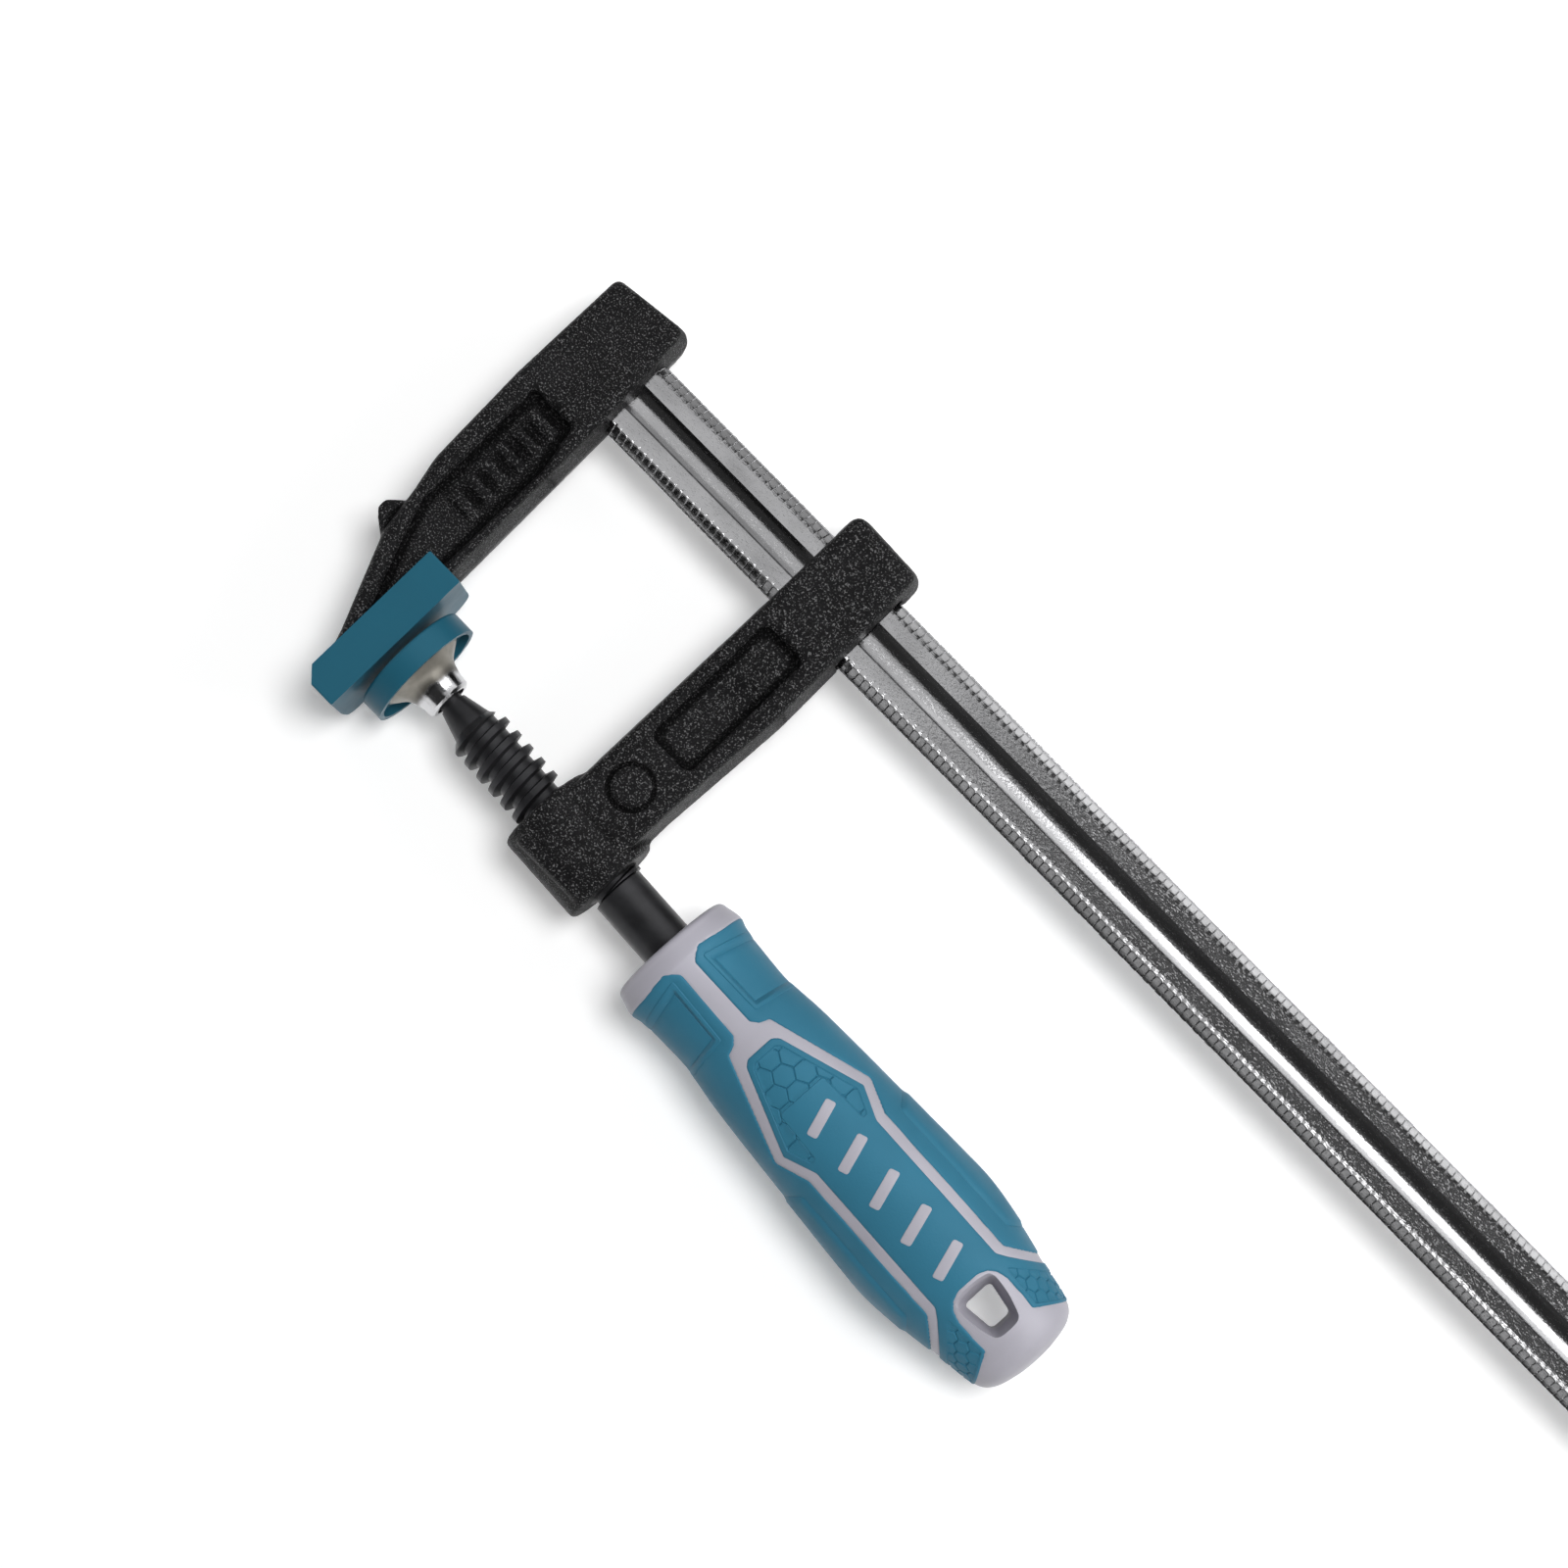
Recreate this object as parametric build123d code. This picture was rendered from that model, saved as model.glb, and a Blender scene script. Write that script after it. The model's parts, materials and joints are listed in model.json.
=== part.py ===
from build123d import *
import math
import os

# Bar clamp (F clamp) with a 200 mm opening and a 50 mm throat, as separate named pieces.
#
# The clamp lies flat. +X runs along the rail from the fixed jaw to its free end, the jaws
# reach towards -Y, and +Z is up. The pieces are drawn with the rail's outer end at x = 0 and
# its axis at y = 0, z = 0, and are moved at the end so that the origin is at the centre of
# the bottom of the whole clamp's box. Sizes are in millimetres and angles in degrees.

# ---- what the clamp can do ----
max_opening = 200.0        # between the pads, jaw at its stop and screw wound back
throat_depth = 49.7        # from the rail's edge to the middle of the round pad
screw_travel = 23.0        # how far the spindle winds back
pad_gap = 1.5              # between the pads with the jaw closed up
screw_skew = 2.45          # the spindle leans away from the rail towards its handle
running_gap = 0.05         # radial play of the ball joint

# ---- rail ----
rail_width = 15.0
rail_thickness = 6.0
rail_bevel = 1.95          # width of the sloping strip beside each flat
rail_ridge = 0.9           # height of the narrow edge between two sloping strips
groove_width = 5.1         # at the flats
groove_floor = 3.5
groove_depth = 1.1
rail_tail = 10.0           # rail beyond the middle of the stop pin
rail_recess = 0.6          # the rail's outer end sits this far inside the fixed jaw
stop_pin_diameter = 3.0
stop_pin_length = 11.0
stop_gap = 0.3

# ---- fixed jaw ----
jaw_half = 7.3             # half the thickness of the fixed jaw
draft = 8.0                # of both castings, from the middle to the faces
edge_round = 1.3           # along the castings' face edges
head_width = 17.7          # along the rail
head_reach = 13.2          # above the rail's axis
foot_inner_x = 18.4        # inner side of the foot that carries the cap
foot_depth = 5.0           # of the foot, along the rail
foot_margin = 1.9          # cap beyond the end of the foot
foot_rise = 7.6            # from the end of the foot to where its outer side turns
foot_slant = 2.6           # of the foot's outer side, along the rail
head_top_slant = 1.9       # the head's top falls this much towards its outer corner
pocket_depth = 1.8
pocket_top = 10.8          # pocket's end below the rail's axis
pocket_slope = 25.0        # of the pocket walls
pocket_land = 2.1          # metal left between the pocket and the inner side
pocket_head_land = 3.3     # the same, beside the rail
pocket_head_length = 9.0   # of the stretch beside the rail
pocket_foot_land = 6.0     # above the end of the foot
rib_count = 6              # plain raised ribs in the fixed jaw's pocket
rib_thickness = 1.1
rib_length = 5.2
rib_height = 0.5
rib_spacing = 3.7
rib_top = 14.6             # first rib below the rail's axis
rib_x = 10.1               # middle of the first rib
rib_lean = 0.12            # each rib's shift along the rail from the one before

# ---- slip-on cap of the fixed jaw ----
cap_length = 29.3
cap_depth = 7.15           # along the rail
cap_wall = 1.75            # in front of the foot
cap_half = 9.5             # half its height
cap_corner = 4.7           # rounded lower corner
cap_chamfer = 2.4
cap_edge = 0.35            # rounding of the other edges
cap_end_bow = 1.5          # bow of the lower end
cap_end_rise = 0.9         # of the lower end's bottom corner

# ---- sliding jaw ----
slide_half = 7.5           # half the thickness of the sliding jaw
slide_width = 16.8         # along the rail, at the rail
slide_waist = 15.9         # along the rail, beside the boss
slide_head = 13.4          # above the rail's axis
slide_head_slant = 0.6     # outer top corner, each way
slide_shoulder = 13.0      # from the boss's axis to where the arm narrows
slide_back_shoulder = 14.0 # the same on the outer side, from the rail's edge
slide_bend = 12.0          # radius of the arm's gentle bends
boss_stand = 1.1           # boss in front of the jaw's inner side
arm_stand = 0.6            # the arm's inner side behind the boss's face
slot_play = 0.25           # each way, round the rail
slide_pocket_width = 10.0
slide_pocket_length = 27.4
slide_pocket_depth = 1.5
slide_pocket_corner = 2.2
slide_pocket_shift = 0.6   # towards the fixed jaw
disc_radius = 3.5          # plain raised disc
disc_height = 0.5
disc_drop = 45.8           # disc below the rail's axis
disc_shift = 1.0           # towards the fixed jaw
boss_radius = 8.75
boss_length = 17.1
boss_edge = 0.8

# ---- spindle ----
reach = 27.1               # ball centre to the boss, spindle wound fully in
ball_radius = 3.35
ball_neck = 2.1            # radius between the ball and the cone
cone_start = 4.15          # from the ball centre
cone_end = 9.0
cone_small = 2.45
cone_large = 3.75
thread_pitch = 3.0
thread_crest = 5.2         # radius
thread_root = 3.85         # radius
crest_width = 1.1
root_width = 2.0
thread_play = 0.2          # radial, and half of it on each flank
shank_radius = 4.68
shank_gap = 14.0           # bare spindle between the boss and the handle
thread_runout = 1.1        # thread beyond the boss, wound fully in
thread_lead = 1.6          # chamfer at the start of the thread
shank_step = 0.3           # chamfer where the shank starts
thread_sink = 0.15         # ridge sunk into its core
tang_inset = 2.0           # from the handle's front to where the tang starts
tang_width = 6.4
tang_length = 46.0

# ---- swivel pad ----
pad_radius = 10.6
pad_height = 4.3           # of the plastic cover, face to rim
pad_face = 1.1             # thickness of its face
pad_rim = 0.9              # thickness of its wall
pad_edge = 0.6             # rounding of its face edge
ball_to_face = 6.8
liner_wall = 0.5           # bearing cup round the ball
liner_reach = 1.2          # liner past the ball centre
flange_thickness = 0.9
collar_radius = 4.1
collar_end = 3.4           # from the ball centre
mouth_radius = 2.95
collar_lip = 0.45          # the collar's end is rolled in by this much
flare_foot = 0.9           # flat rim of the flange outside the flare
flare_points = [(7.0, -2.9), (5.1, -1.3), (4.45, 0.3)]   # radius, from the ball centre
snap_depth = 0.35          # of the bead that holds the flange
snap_width = 0.8

# ---- handle ----
handle_profile = [         # distance from the front, radius
    (1.3, 11.45), (4.2, 12.1), (6.5, 11.55), (11.6, 11.22), (17.3, 11.1), (24.0, 11.85),
    (31.0, 12.35), (39.0, 12.8), (49.0, 13.3), (57.0, 13.7), (64.0, 13.86), (72.2, 12.9),
    (79.0, 11.65), (86.0, 10.45),
]
handle_length = 90.3
handle_mouth = 10.1        # radius of the front face
dome_points = [(88.8, 8.2), (90.0, 4.0)]
grip_depth = 1.5           # thickness of the soft grip
grip_front = 3.0           # where the core first steps down under the grip
grip_back = 87.0
hole_front = 75.6          # hanging hole, from the handle's front
hole_back = 82.0
hole_half_front = 2.95
hole_half_back = 2.0
beyond = 20.0              # further out than any part of the handle
mark_count = 5             # plain slanted bars inlaid in the grip
mark_width = 1.9
mark_length = 6.4
mark_spacing = 7.6
mark_start = 38.0
mark_slant = 20.0
mark_corner = 0.5
hole_corner = 0.9

# Outlines of the fixed jaw seen from above, in (x, distance above the top of its foot).
arm_back = [(3.7, -3.4), (2.3, 5.0), (0.8, 11.4)]
pocket_back = [(7.6, -3.0), (4.8, 5.0)]
lug_outline = [(2.6, 2.7), (0.6, 0.8), (0.6, -0.9), (2.1, -2.4), (5.0, -4.4), (5.0, 4.0)]
lug_share = 0.7            # of the casting's thickness

# Outlines of the handle, in (distance from the handle's front, distance from its axis).
wing_outline = [
    (4.35, 12.0), (4.2, 8.6), (3.5, 3.7), (5.5, 1.5), (18.6, 1.7), (19.9, 2.9),
    (20.4, 4.5), (38.3, 10.5), (44.2, 8.3), (72.7, 8.35), (77.8, 12.0),
]
panel_outline = [
    (22.9, 0.0), (22.9, 2.6), (23.8, 3.7), (38.5, 8.9), (44.1, 6.6), (72.7, 6.7),
    (74.4, 7.8), (79.5, 11.7),
]
panel_tail = [(86.6, 10.4), (83.2, 5.15), (80.5, 5.2), (75.2, 5.1), (73.4, 3.3), (73.2, 0.0)]

# ---- worked out ----
pad_y = -(rail_width / 2 + throat_depth)
cap_face_x = foot_inner_x + cap_wall
ball_x = cap_face_x + pad_gap + ball_to_face
foot_top = pad_y + cap_length / 2
foot_end = pad_y - cap_length / 2 + foot_margin
slope = math.radians(screw_skew)
boss_face_x = ball_x + reach * math.cos(slope)
slide_x = boss_face_x + boss_stand                # sliding jaw's inner side, at the rail
jaw_travel = max_opening - pad_gap - screw_travel
stop_pin_x = slide_x + slide_width + jaw_travel + stop_gap + stop_pin_diameter / 2
rail_length = stop_pin_x + rail_tail
boss_end = reach + boss_length
thread_end = boss_end + thread_runout
handle_front = boss_end + shank_gap
liner_inner = ball_radius + running_gap
liner_outer = liner_inner + liner_wall
socket_radius = liner_outer + running_gap

# Local frames: z along the spindle towards the handle, x towards the rail, y up.
screw_frame = Plane(
    origin=(ball_x, pad_y, 0),
    x_dir=(math.sin(slope), math.cos(slope), 0),
    z_dir=(math.cos(slope), -math.sin(slope), 0),
)
pad_frame = Plane(origin=(ball_x, pad_y, 0), x_dir=(0, 1, 0), z_dir=(1, 0, 0))


def outline_face(points, radii=0.0):
    """A flat face inside a closed outline, with its corners rounded."""
    if not isinstance(radii, (list, tuple)):
        radii = [radii] * len(points)
    ends = points[1:] + points[:1]
    if sum(x0 * y1 - x1 * y0 for (x0, y0), (x1, y1) in zip(points, ends)) < 0:
        points, radii = points[::-1], radii[::-1]
    face = make_face(Polyline(*points, close=True)).face()
    for radius in sorted(set(radii) - {0, 0.0}):
        tips = [Vector(x, y) for (x, y), r in zip(points, radii) if r == radius]
        corners = [v for v in face.vertices() if min((Vector(v) - t).length for t in tips) < 1e-5]
        face = face.fillet_2d(radius, corners)
    return face


def turned(points):
    """A solid of revolution about z from an outline of (radius, z) points."""
    return revolve(Plane.XZ * make_face(Polyline(*points, close=True)), axis=Axis.Z)


def casting_slab(face, half):
    """A slab widest at mid-height, drafted to both faces, with rounded face edges."""
    upper = extrude(face, half, taper=draft)
    rim = [e for e in upper.edges() if e.center().Z > half - 0.01]
    upper = upper.fillet(edge_round, rim)
    return upper + mirror(upper, about=Plane.XY)


def both_pockets(face, half, depth):
    """Cutters that sink an outline into the upper and the lower face of a casting."""
    cutter = mirror(extrude(face, depth, taper=pocket_slope), about=Plane.XY)
    upper = Pos(0, 0, half) * cutter
    return [upper, mirror(upper, about=Plane.XY)]


def make_rail():
    """Grooved steel bar with sloping strips along both narrow edges."""
    w, t = rail_width / 2, rail_thickness / 2
    flat = w - rail_bevel
    quarter = [
        (w, rail_ridge / 2), (flat, t), (groove_width / 2, t),
        (groove_floor / 2, t - groove_depth),
    ]
    upper = quarter + [(-y, z) for y, z in reversed(quarter)]
    section = upper + [(y, -z) for y, z in reversed(upper)]
    bar = extrude(Plane.YZ * outline_face(section), rail_length - rail_recess)
    bar = Pos(rail_recess, 0, 0) * bar
    pin_hole = Pos(stop_pin_x, 0, 0) * Cylinder(stop_pin_diameter / 2, 3 * rail_thickness)
    return bar - pin_hole


def make_stop_pin():
    """Cross pin that keeps the sliding jaw on the rail."""
    pin = Pos(stop_pin_x, 0, 0) * Cylinder(stop_pin_diameter / 2, stop_pin_length)
    return pin.chamfer(0.3, None, pin.edges().filter_by(GeomType.CIRCLE))


def make_fixed_jaw(rail):
    """Casting fixed to the rail's end, with a pocketed arm and a foot for the cap."""
    half_rail = rail_width / 2
    foot_x = foot_inner_x - foot_depth
    back = [(x, foot_top + rise) for x, rise in arm_back]
    points = [
        (edge_round / 4, head_reach - head_top_slant / 2),
        (head_width - edge_round, head_reach + head_top_slant / 2),
        (head_width, -half_rail), (foot_inner_x, foot_top), (foot_inner_x, foot_end),
        (foot_x, foot_end), (foot_x - foot_slant, foot_end + foot_rise), *back,
        (0.0, -half_rail - 4.0),
    ]
    slab = casting_slab(
        outline_face(points, [2.2, 2.6, 0, 0, 0, 0, 3.0, 2.5, 6.0, 12.0, 12.0]), jaw_half)
    lug = [(x, foot_top + rise) for x, rise in lug_outline]
    slab += extrude(outline_face(lug, [0, 0.7, 0.7, 1.0, 0, 0]), lug_share * jaw_half, both=True)
    pocket = outline_face([
        (arm_back[1][0] + pocket_land, -pocket_top), (head_width - pocket_head_land, -pocket_top),
        (foot_inner_x - pocket_land, -pocket_top - pocket_head_length),
        (foot_inner_x - pocket_land, foot_end + pocket_foot_land),
        (foot_x + pocket_land - edge_round, foot_end + foot_rise),
        *[(x, foot_top + rise) for x, rise in pocket_back],
    ], [1.5, 1.5, 4.0, 0, 0, 3.0, 3.0])
    slab -= both_pockets(pocket, jaw_half, pocket_depth)
    floor = jaw_half - pocket_depth
    for index in range(rib_count):
        spot = Pos(rib_x + rib_lean * index, -(rib_top + index * rib_spacing), 0)
        slab += spot * Box(rib_length, rib_thickness, 2 * (floor + rib_height))
    slot = Pos(rail_recess, 0, 0) * extrude(
        Plane.YZ * Rectangle(rail_width, rail_thickness), -2 * head_width)
    return slab - rail - slot


def make_cap(fixed_jaw):
    """Plastic cap that slips over the fixed jaw's foot and hooks into its pocket."""
    top, end = pad_y + cap_length / 2, pad_y - cap_length / 2
    back = cap_face_x - cap_depth
    seen_above = outline_face([
        (back, top), (cap_face_x, top), (cap_face_x, end),
        (back + cap_chamfer, end), (back, end + cap_chamfer),
    ], cap_edge)
    plan = extrude(seen_above, cap_half, both=True)
    seen_front = outline_face([
        (top, cap_half), (top, -cap_half), (end + cap_end_rise, -cap_half),
        (end + cap_end_rise - cap_end_bow, 0.0), (end, cap_half),
    ], [cap_edge, cap_corner, 2.5, 6.0, cap_edge])
    front = extrude(Plane.YZ * seen_front, cap_face_x + cap_depth)
    return (plan & front) - fixed_jaw


def make_sliding_jaw():
    """Casting that runs on the rail and carries the screw in a threaded boss."""
    boss_y = pad_y - reach * math.sin(slope)
    arm_end = boss_y - boss_radius + arm_stand
    left, waist_left = slide_x, boss_face_x + arm_stand
    right = slide_x + slide_width
    waist_right = waist_left + slide_waist
    points = [
        (left, slide_head), (right - slide_head_slant, slide_head - slide_head_slant),
        (right, -rail_width / 2 - slide_back_shoulder), (waist_right, boss_y + slide_shoulder),
        (waist_right, arm_end), (waist_left, arm_end), (waist_left, boss_y + slide_shoulder),
        (left, -rail_width / 2),
    ]
    top, bend = 2 * edge_round, slide_bend
    body = casting_slab(outline_face(points, [top, top, bend, bend, 0, 0, bend, bend]), slide_half)
    pocket_mid = (left + right) / 2 - slide_pocket_shift
    pocket = Pos(pocket_mid, -pocket_top - slide_pocket_length / 2) * RectangleRounded(
        slide_pocket_width, slide_pocket_length, slide_pocket_corner)
    body -= both_pockets(pocket, slide_half, slide_pocket_depth)
    disc = Pos((left + right) / 2 - disc_shift, -disc_drop, 0) * Cylinder(
        disc_radius, 2 * (slide_half + disc_height))
    disc = disc.chamfer(disc_height / 2, None, disc.edges().filter_by(GeomType.CIRCLE))
    boss = Pos(0, 0, reach + boss_length / 2) * Cylinder(boss_radius, boss_length)
    boss = boss.fillet(boss_edge, boss.edges().filter_by(GeomType.CIRCLE))
    body += [disc, screw_frame * boss]
    slot = Pos((left + right) / 2, 0, 0) * Box(
        3 * slide_width, rail_width + 2 * slot_play, rail_thickness + 2 * slot_play)
    bore_radius = thread_root + thread_play
    bore = Pos(0, 0, reach + boss_length / 2) * Cylinder(bore_radius, 2 * boss_length)
    body -= [slot, screw_frame * bore]
    turns_before = 2
    start = cone_end + thread_pitch * math.floor((reach - cone_end) / thread_pitch - turns_before)
    groove = thread_ridge(
        bore_radius, thread_crest + thread_play, start,
        boss_length + 2 * turns_before * thread_pitch,
        crest_width + thread_play, root_width + thread_play)
    return body - screw_frame * groove


def thread_ridge(root, crest, start, length, width_out, width_in):
    """A right-hand trapezoidal ridge wound about z."""
    path = Helix(pitch=thread_pitch, height=length, radius=root, center=(0, 0, start))
    section = Plane.XZ * outline_face([
        (root - thread_sink, start - width_in / 2), (crest, start - width_out / 2),
        (crest, start + width_out / 2), (root - thread_sink, start + width_in / 2),
    ])
    return sweep(section, path=path, is_frenet=True)


def make_spindle():
    """Ball end, cone, trapezoidal thread, shank and the tang inside the handle."""
    tang_start = handle_front + tang_inset
    shaft = turned([
        (0, 0), (ball_neck, 0), (ball_neck, cone_start), (cone_small, cone_start),
        (cone_large, cone_end), (thread_root, cone_end + shank_step), (thread_root, thread_end),
        (shank_radius, thread_end + shank_step), (shank_radius, tang_start), (0, tang_start),
    ])
    tang = Pos(0, 0, tang_start) * Box(
        tang_width, tang_width, tang_length, align=(Align.CENTER, Align.CENTER, Align.MIN))
    envelope = turned([
        (0, cone_end), (cone_large, cone_end), (thread_crest, cone_end + thread_lead),
        (thread_crest, thread_end), (0, thread_end),
    ])
    ridge = thread_ridge(
        thread_root, thread_crest, cone_end, thread_end - cone_end + thread_pitch,
        crest_width, root_width)
    return screw_frame * (shaft + Sphere(ball_radius) + tang + (ridge & envelope))


def make_ball_seat():
    """Bearing liner between the spindle's ball and the pad."""
    shell = Sphere(liner_outer) - Sphere(liner_inner)
    keep = Pos(0, 0, liner_reach) * Cylinder(
        2 * liner_outer, 3 * liner_outer, align=(Align.CENTER, Align.CENTER, Align.MAX))
    return pad_frame * (shell & keep)


def make_pad_plate():
    """Steel pressure plate: flange, flared neck and the collar closed round the ball."""
    base = pad_face - ball_to_face
    flange_radius = pad_radius - pad_rim - running_gap
    rim = base + flange_thickness
    flare_start = (flange_radius - flare_foot, rim)
    flare_top = (collar_radius, collar_end - collar_lip)
    profile = Polyline((0, base), (flange_radius, base), (flange_radius, rim), flare_start)
    flare = Spline(flare_start, *flare_points, flare_top)
    close = Polyline(
        flare_top, (collar_radius - collar_lip, collar_end), (0, collar_end), (0, base))
    body = revolve(Plane.XZ * make_face([profile, flare, close]), axis=Axis.Z)
    mouth = Cylinder(
        mouth_radius, 2 * ball_to_face, align=(Align.CENTER, Align.CENTER, Align.MIN))
    return pad_frame * (body - Sphere(socket_radius) - mouth)


def make_pad_cover():
    """Plastic cover snapped over the pressure plate's flange."""
    face = -ball_to_face
    outer = Pos(0, 0, face) * Cylinder(
        pad_radius, pad_height, align=(Align.CENTER, Align.CENTER, Align.MIN))
    outer = outer.fillet(pad_edge, outer.edges().group_by(Axis.Z)[0])
    snap = face + pad_face + flange_thickness
    inner = pad_radius - pad_rim
    hollow = turned([
        (0, face + pad_face), (inner, face + pad_face), (inner, snap),
        (inner - snap_depth, snap + snap_width / 2), (inner, snap + snap_width),
        (inner, face + pad_height + pad_rim), (0, face + pad_height + pad_rim),
    ])
    return pad_frame * (outer - hollow)


def handle_body(inset, front, back):
    """The handle's turned shape between two stations, shrunk by an inset."""
    side = [(r - inset, h) for h, r in handle_profile]
    body = revolve(Plane.XZ * make_face([
        Polyline((0, 0), (handle_mouth - inset, 0), side[0]),
        Spline(*side),
        Spline(side[-1], *[(r - inset, h) for h, r in dome_points], (0, handle_length),
               tangents=((-0.45, 1), (-1, 0))),
        Line((0, handle_length), (0, 0)),
    ]), axis=Axis.Z)
    if inset == 0:
        return body
    span = Pos(0, 0, front) * Cylinder(
        beyond, back - front, align=(Align.CENTER, Align.CENTER, Align.MIN))
    return body & span


def handle_prism(points, radii=0.0):
    """An outline seen from above, carried right through the handle."""
    plane = Plane(origin=(0, 0, 0), x_dir=(0, 0, 1), z_dir=(0, 1, 0))
    return extrude(plane * outline_face(points, radii), beyond, both=True)


def other_side(points):
    """The same outline on the far side of the handle's axis."""
    return [(h, -t) for h, t in points]


def make_handle(spindle):
    """Hard core with a tang socket and hanging hole, and the soft grip moulded round it."""
    outer = handle_body(0, 0, handle_length)
    under_grip = handle_body(grip_depth, grip_front, grip_back)
    skin = outer - under_grip
    wing = [(wing_outline[0][0], beyond), *wing_outline, (wing_outline[-1][0], beyond)]
    right = [
        *panel_outline[1:], (panel_outline[-1][0] + 1, beyond), (panel_tail[0][0], beyond),
        *panel_tail[:-1],
    ]
    panel = right + other_side(reversed(right))
    marks = []
    for index in range(mark_count):
        spot = Pos(mark_start + index * mark_spacing, 0)
        marks.append(spot * Rot(0, 0, mark_slant) * RectangleRounded(
            mark_width, mark_length, mark_corner))
    plane = Plane(origin=(0, 0, 0), x_dir=(0, 0, 1), z_dir=(0, 1, 0))
    mark_prisms = [extrude(plane * mark, beyond, both=True) for mark in marks]
    hole = handle_prism([
        (hole_front, hole_half_front), (hole_back, hole_half_back),
        (hole_back, -hole_half_back), (hole_front, -hole_half_front)], hole_corner)
    grip_right = skin & handle_prism(wing)
    grip_left = skin & handle_prism(other_side(wing))
    grip_panel = (skin & handle_prism(panel)) - mark_prisms
    place = screw_frame * Pos(0, 0, handle_front)
    core = place * (outer - grip_right - grip_left - grip_panel - hole) - spindle
    return core, place * grip_right, place * grip_left, place * grip_panel


def all_parts():
    """Every piece by name, in the clamp's own frame."""
    rail = make_rail()
    fixed_jaw = make_fixed_jaw(rail)
    spindle = make_spindle()
    core, grip_right, grip_left, grip_panel = make_handle(spindle)
    parts = {
        "rail": rail,
        "rail_stop_pin": make_stop_pin(),
        "fixed_jaw": fixed_jaw,
        "fixed_jaw_cap": make_cap(fixed_jaw),
        "sliding_jaw": make_sliding_jaw(),
        "spindle": spindle,
        "ball_seat": make_ball_seat(),
        "pad_plate": make_pad_plate(),
        "pad_cover": make_pad_cover(),
        "handle_core": core,
        "grip_wing_right": grip_right,
        "grip_wing_left": grip_left,
        "grip_panel": grip_panel,
    }
    box = Compound(children=[Compound(list(p.solids())) for p in parts.values()]).bounding_box()
    centre = (box.min + box.max) * 0.5
    to_origin = Pos(-centre.X, -centre.Y, -box.min.Z)
    return {name: to_origin * part for name, part in parts.items()}, to_origin


def main():
    os.makedirs("parts", exist_ok=True)
    parts, _ = all_parts()
    for name, part in parts.items():
        export_step(part, f"parts/{name}.step")


if __name__ == "__main__":
    main()
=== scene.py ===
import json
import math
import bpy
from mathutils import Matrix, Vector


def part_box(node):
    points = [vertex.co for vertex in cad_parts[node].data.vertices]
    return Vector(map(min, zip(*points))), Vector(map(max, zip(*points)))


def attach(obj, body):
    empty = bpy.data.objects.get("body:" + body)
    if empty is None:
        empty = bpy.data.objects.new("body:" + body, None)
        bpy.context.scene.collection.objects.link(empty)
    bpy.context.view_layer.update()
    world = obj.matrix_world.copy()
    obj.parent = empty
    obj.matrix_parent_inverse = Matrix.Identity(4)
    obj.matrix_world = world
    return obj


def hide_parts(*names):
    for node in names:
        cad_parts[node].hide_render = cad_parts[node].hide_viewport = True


bl_info = {
    "name": "F clamp",
    "version": (1, 0, 0),
    "blender": (4, 5, 0),
    "location": "3D View > Sidebar > F clamp",
    "description": "Finishes a bar clamp: serrated rail, cast jaws, spindle, pads and handle",
    "category": "Object",
}

from contextlib import contextmanager

import bmesh
import bpy
import numpy as np
from bpy.props import FloatProperty, FloatVectorProperty, IntProperty, PointerProperty
from bpy.types import Operator, Panel, PropertyGroup
from mathutils import Matrix, Vector, geometry, kdtree, noise

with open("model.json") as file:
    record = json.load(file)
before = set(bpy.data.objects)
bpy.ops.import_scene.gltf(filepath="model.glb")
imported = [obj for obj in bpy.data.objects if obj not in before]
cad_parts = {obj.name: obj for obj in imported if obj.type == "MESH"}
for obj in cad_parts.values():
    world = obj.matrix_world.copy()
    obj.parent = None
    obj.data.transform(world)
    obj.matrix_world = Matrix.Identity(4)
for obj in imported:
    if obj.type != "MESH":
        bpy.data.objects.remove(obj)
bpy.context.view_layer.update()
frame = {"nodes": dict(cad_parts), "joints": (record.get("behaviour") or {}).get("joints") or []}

MM = 0.001
UP = np.array((0.0, 0.0, 1.0))

# ---- places read from the frame ----
joints = {joint["name"]: joint for joint in frame["joints"]}
BALL = np.array(joints["spindle_turn"]["pos_m"]) / MM
SCREW = np.array(joints["spindle_turn"]["axis"])
SIDE = np.cross(UP, SCREW)                 # from the spindle towards the rail
MID_HEIGHT = BALL[2]
RAIL_LOW, RAIL_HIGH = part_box("rail")


def read_mesh(collection, name, kind=np.float32, width=3):
    """A mesh's values as an array."""
    values = np.empty(len(collection) * width, kind)
    collection.foreach_get(name, values)
    return values.reshape(-1, width)


def node_points(node):
    """Corners of a CAD node's mesh, in millimetres."""
    return read_mesh(frame["nodes"][node].data.vertices, "co") / MM


HANDLE_FRONT = float(((node_points("handle_core") - BALL) @ SCREW).min())

# ---- the handle's shape, in millimetres from its front and from its axis ----
HANDLE_PROFILE = [
    (1.3, 11.45), (4.2, 12.1), (6.5, 11.55), (11.6, 11.22), (17.3, 11.1), (24.0, 11.85),
    (31.0, 12.35), (39.0, 12.8), (49.0, 13.3), (57.0, 13.7), (64.0, 13.86), (72.2, 12.9),
    (79.0, 11.65), (86.0, 10.45), (88.8, 8.2), (90.0, 4.0), (90.3, 0.0),
]
MOUTH_RADIUS = 10.1
SHANK_RADIUS = 4.68
WING_OUTLINE = [
    (4.4, 15.0), (4.2, 8.6), (3.5, 3.7), (5.5, 1.5), (18.6, 1.7), (19.9, 2.9),
    (20.4, 4.5), (38.3, 10.5), (44.2, 8.3), (72.7, 8.35), (81.9, 15.0),
]
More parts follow.
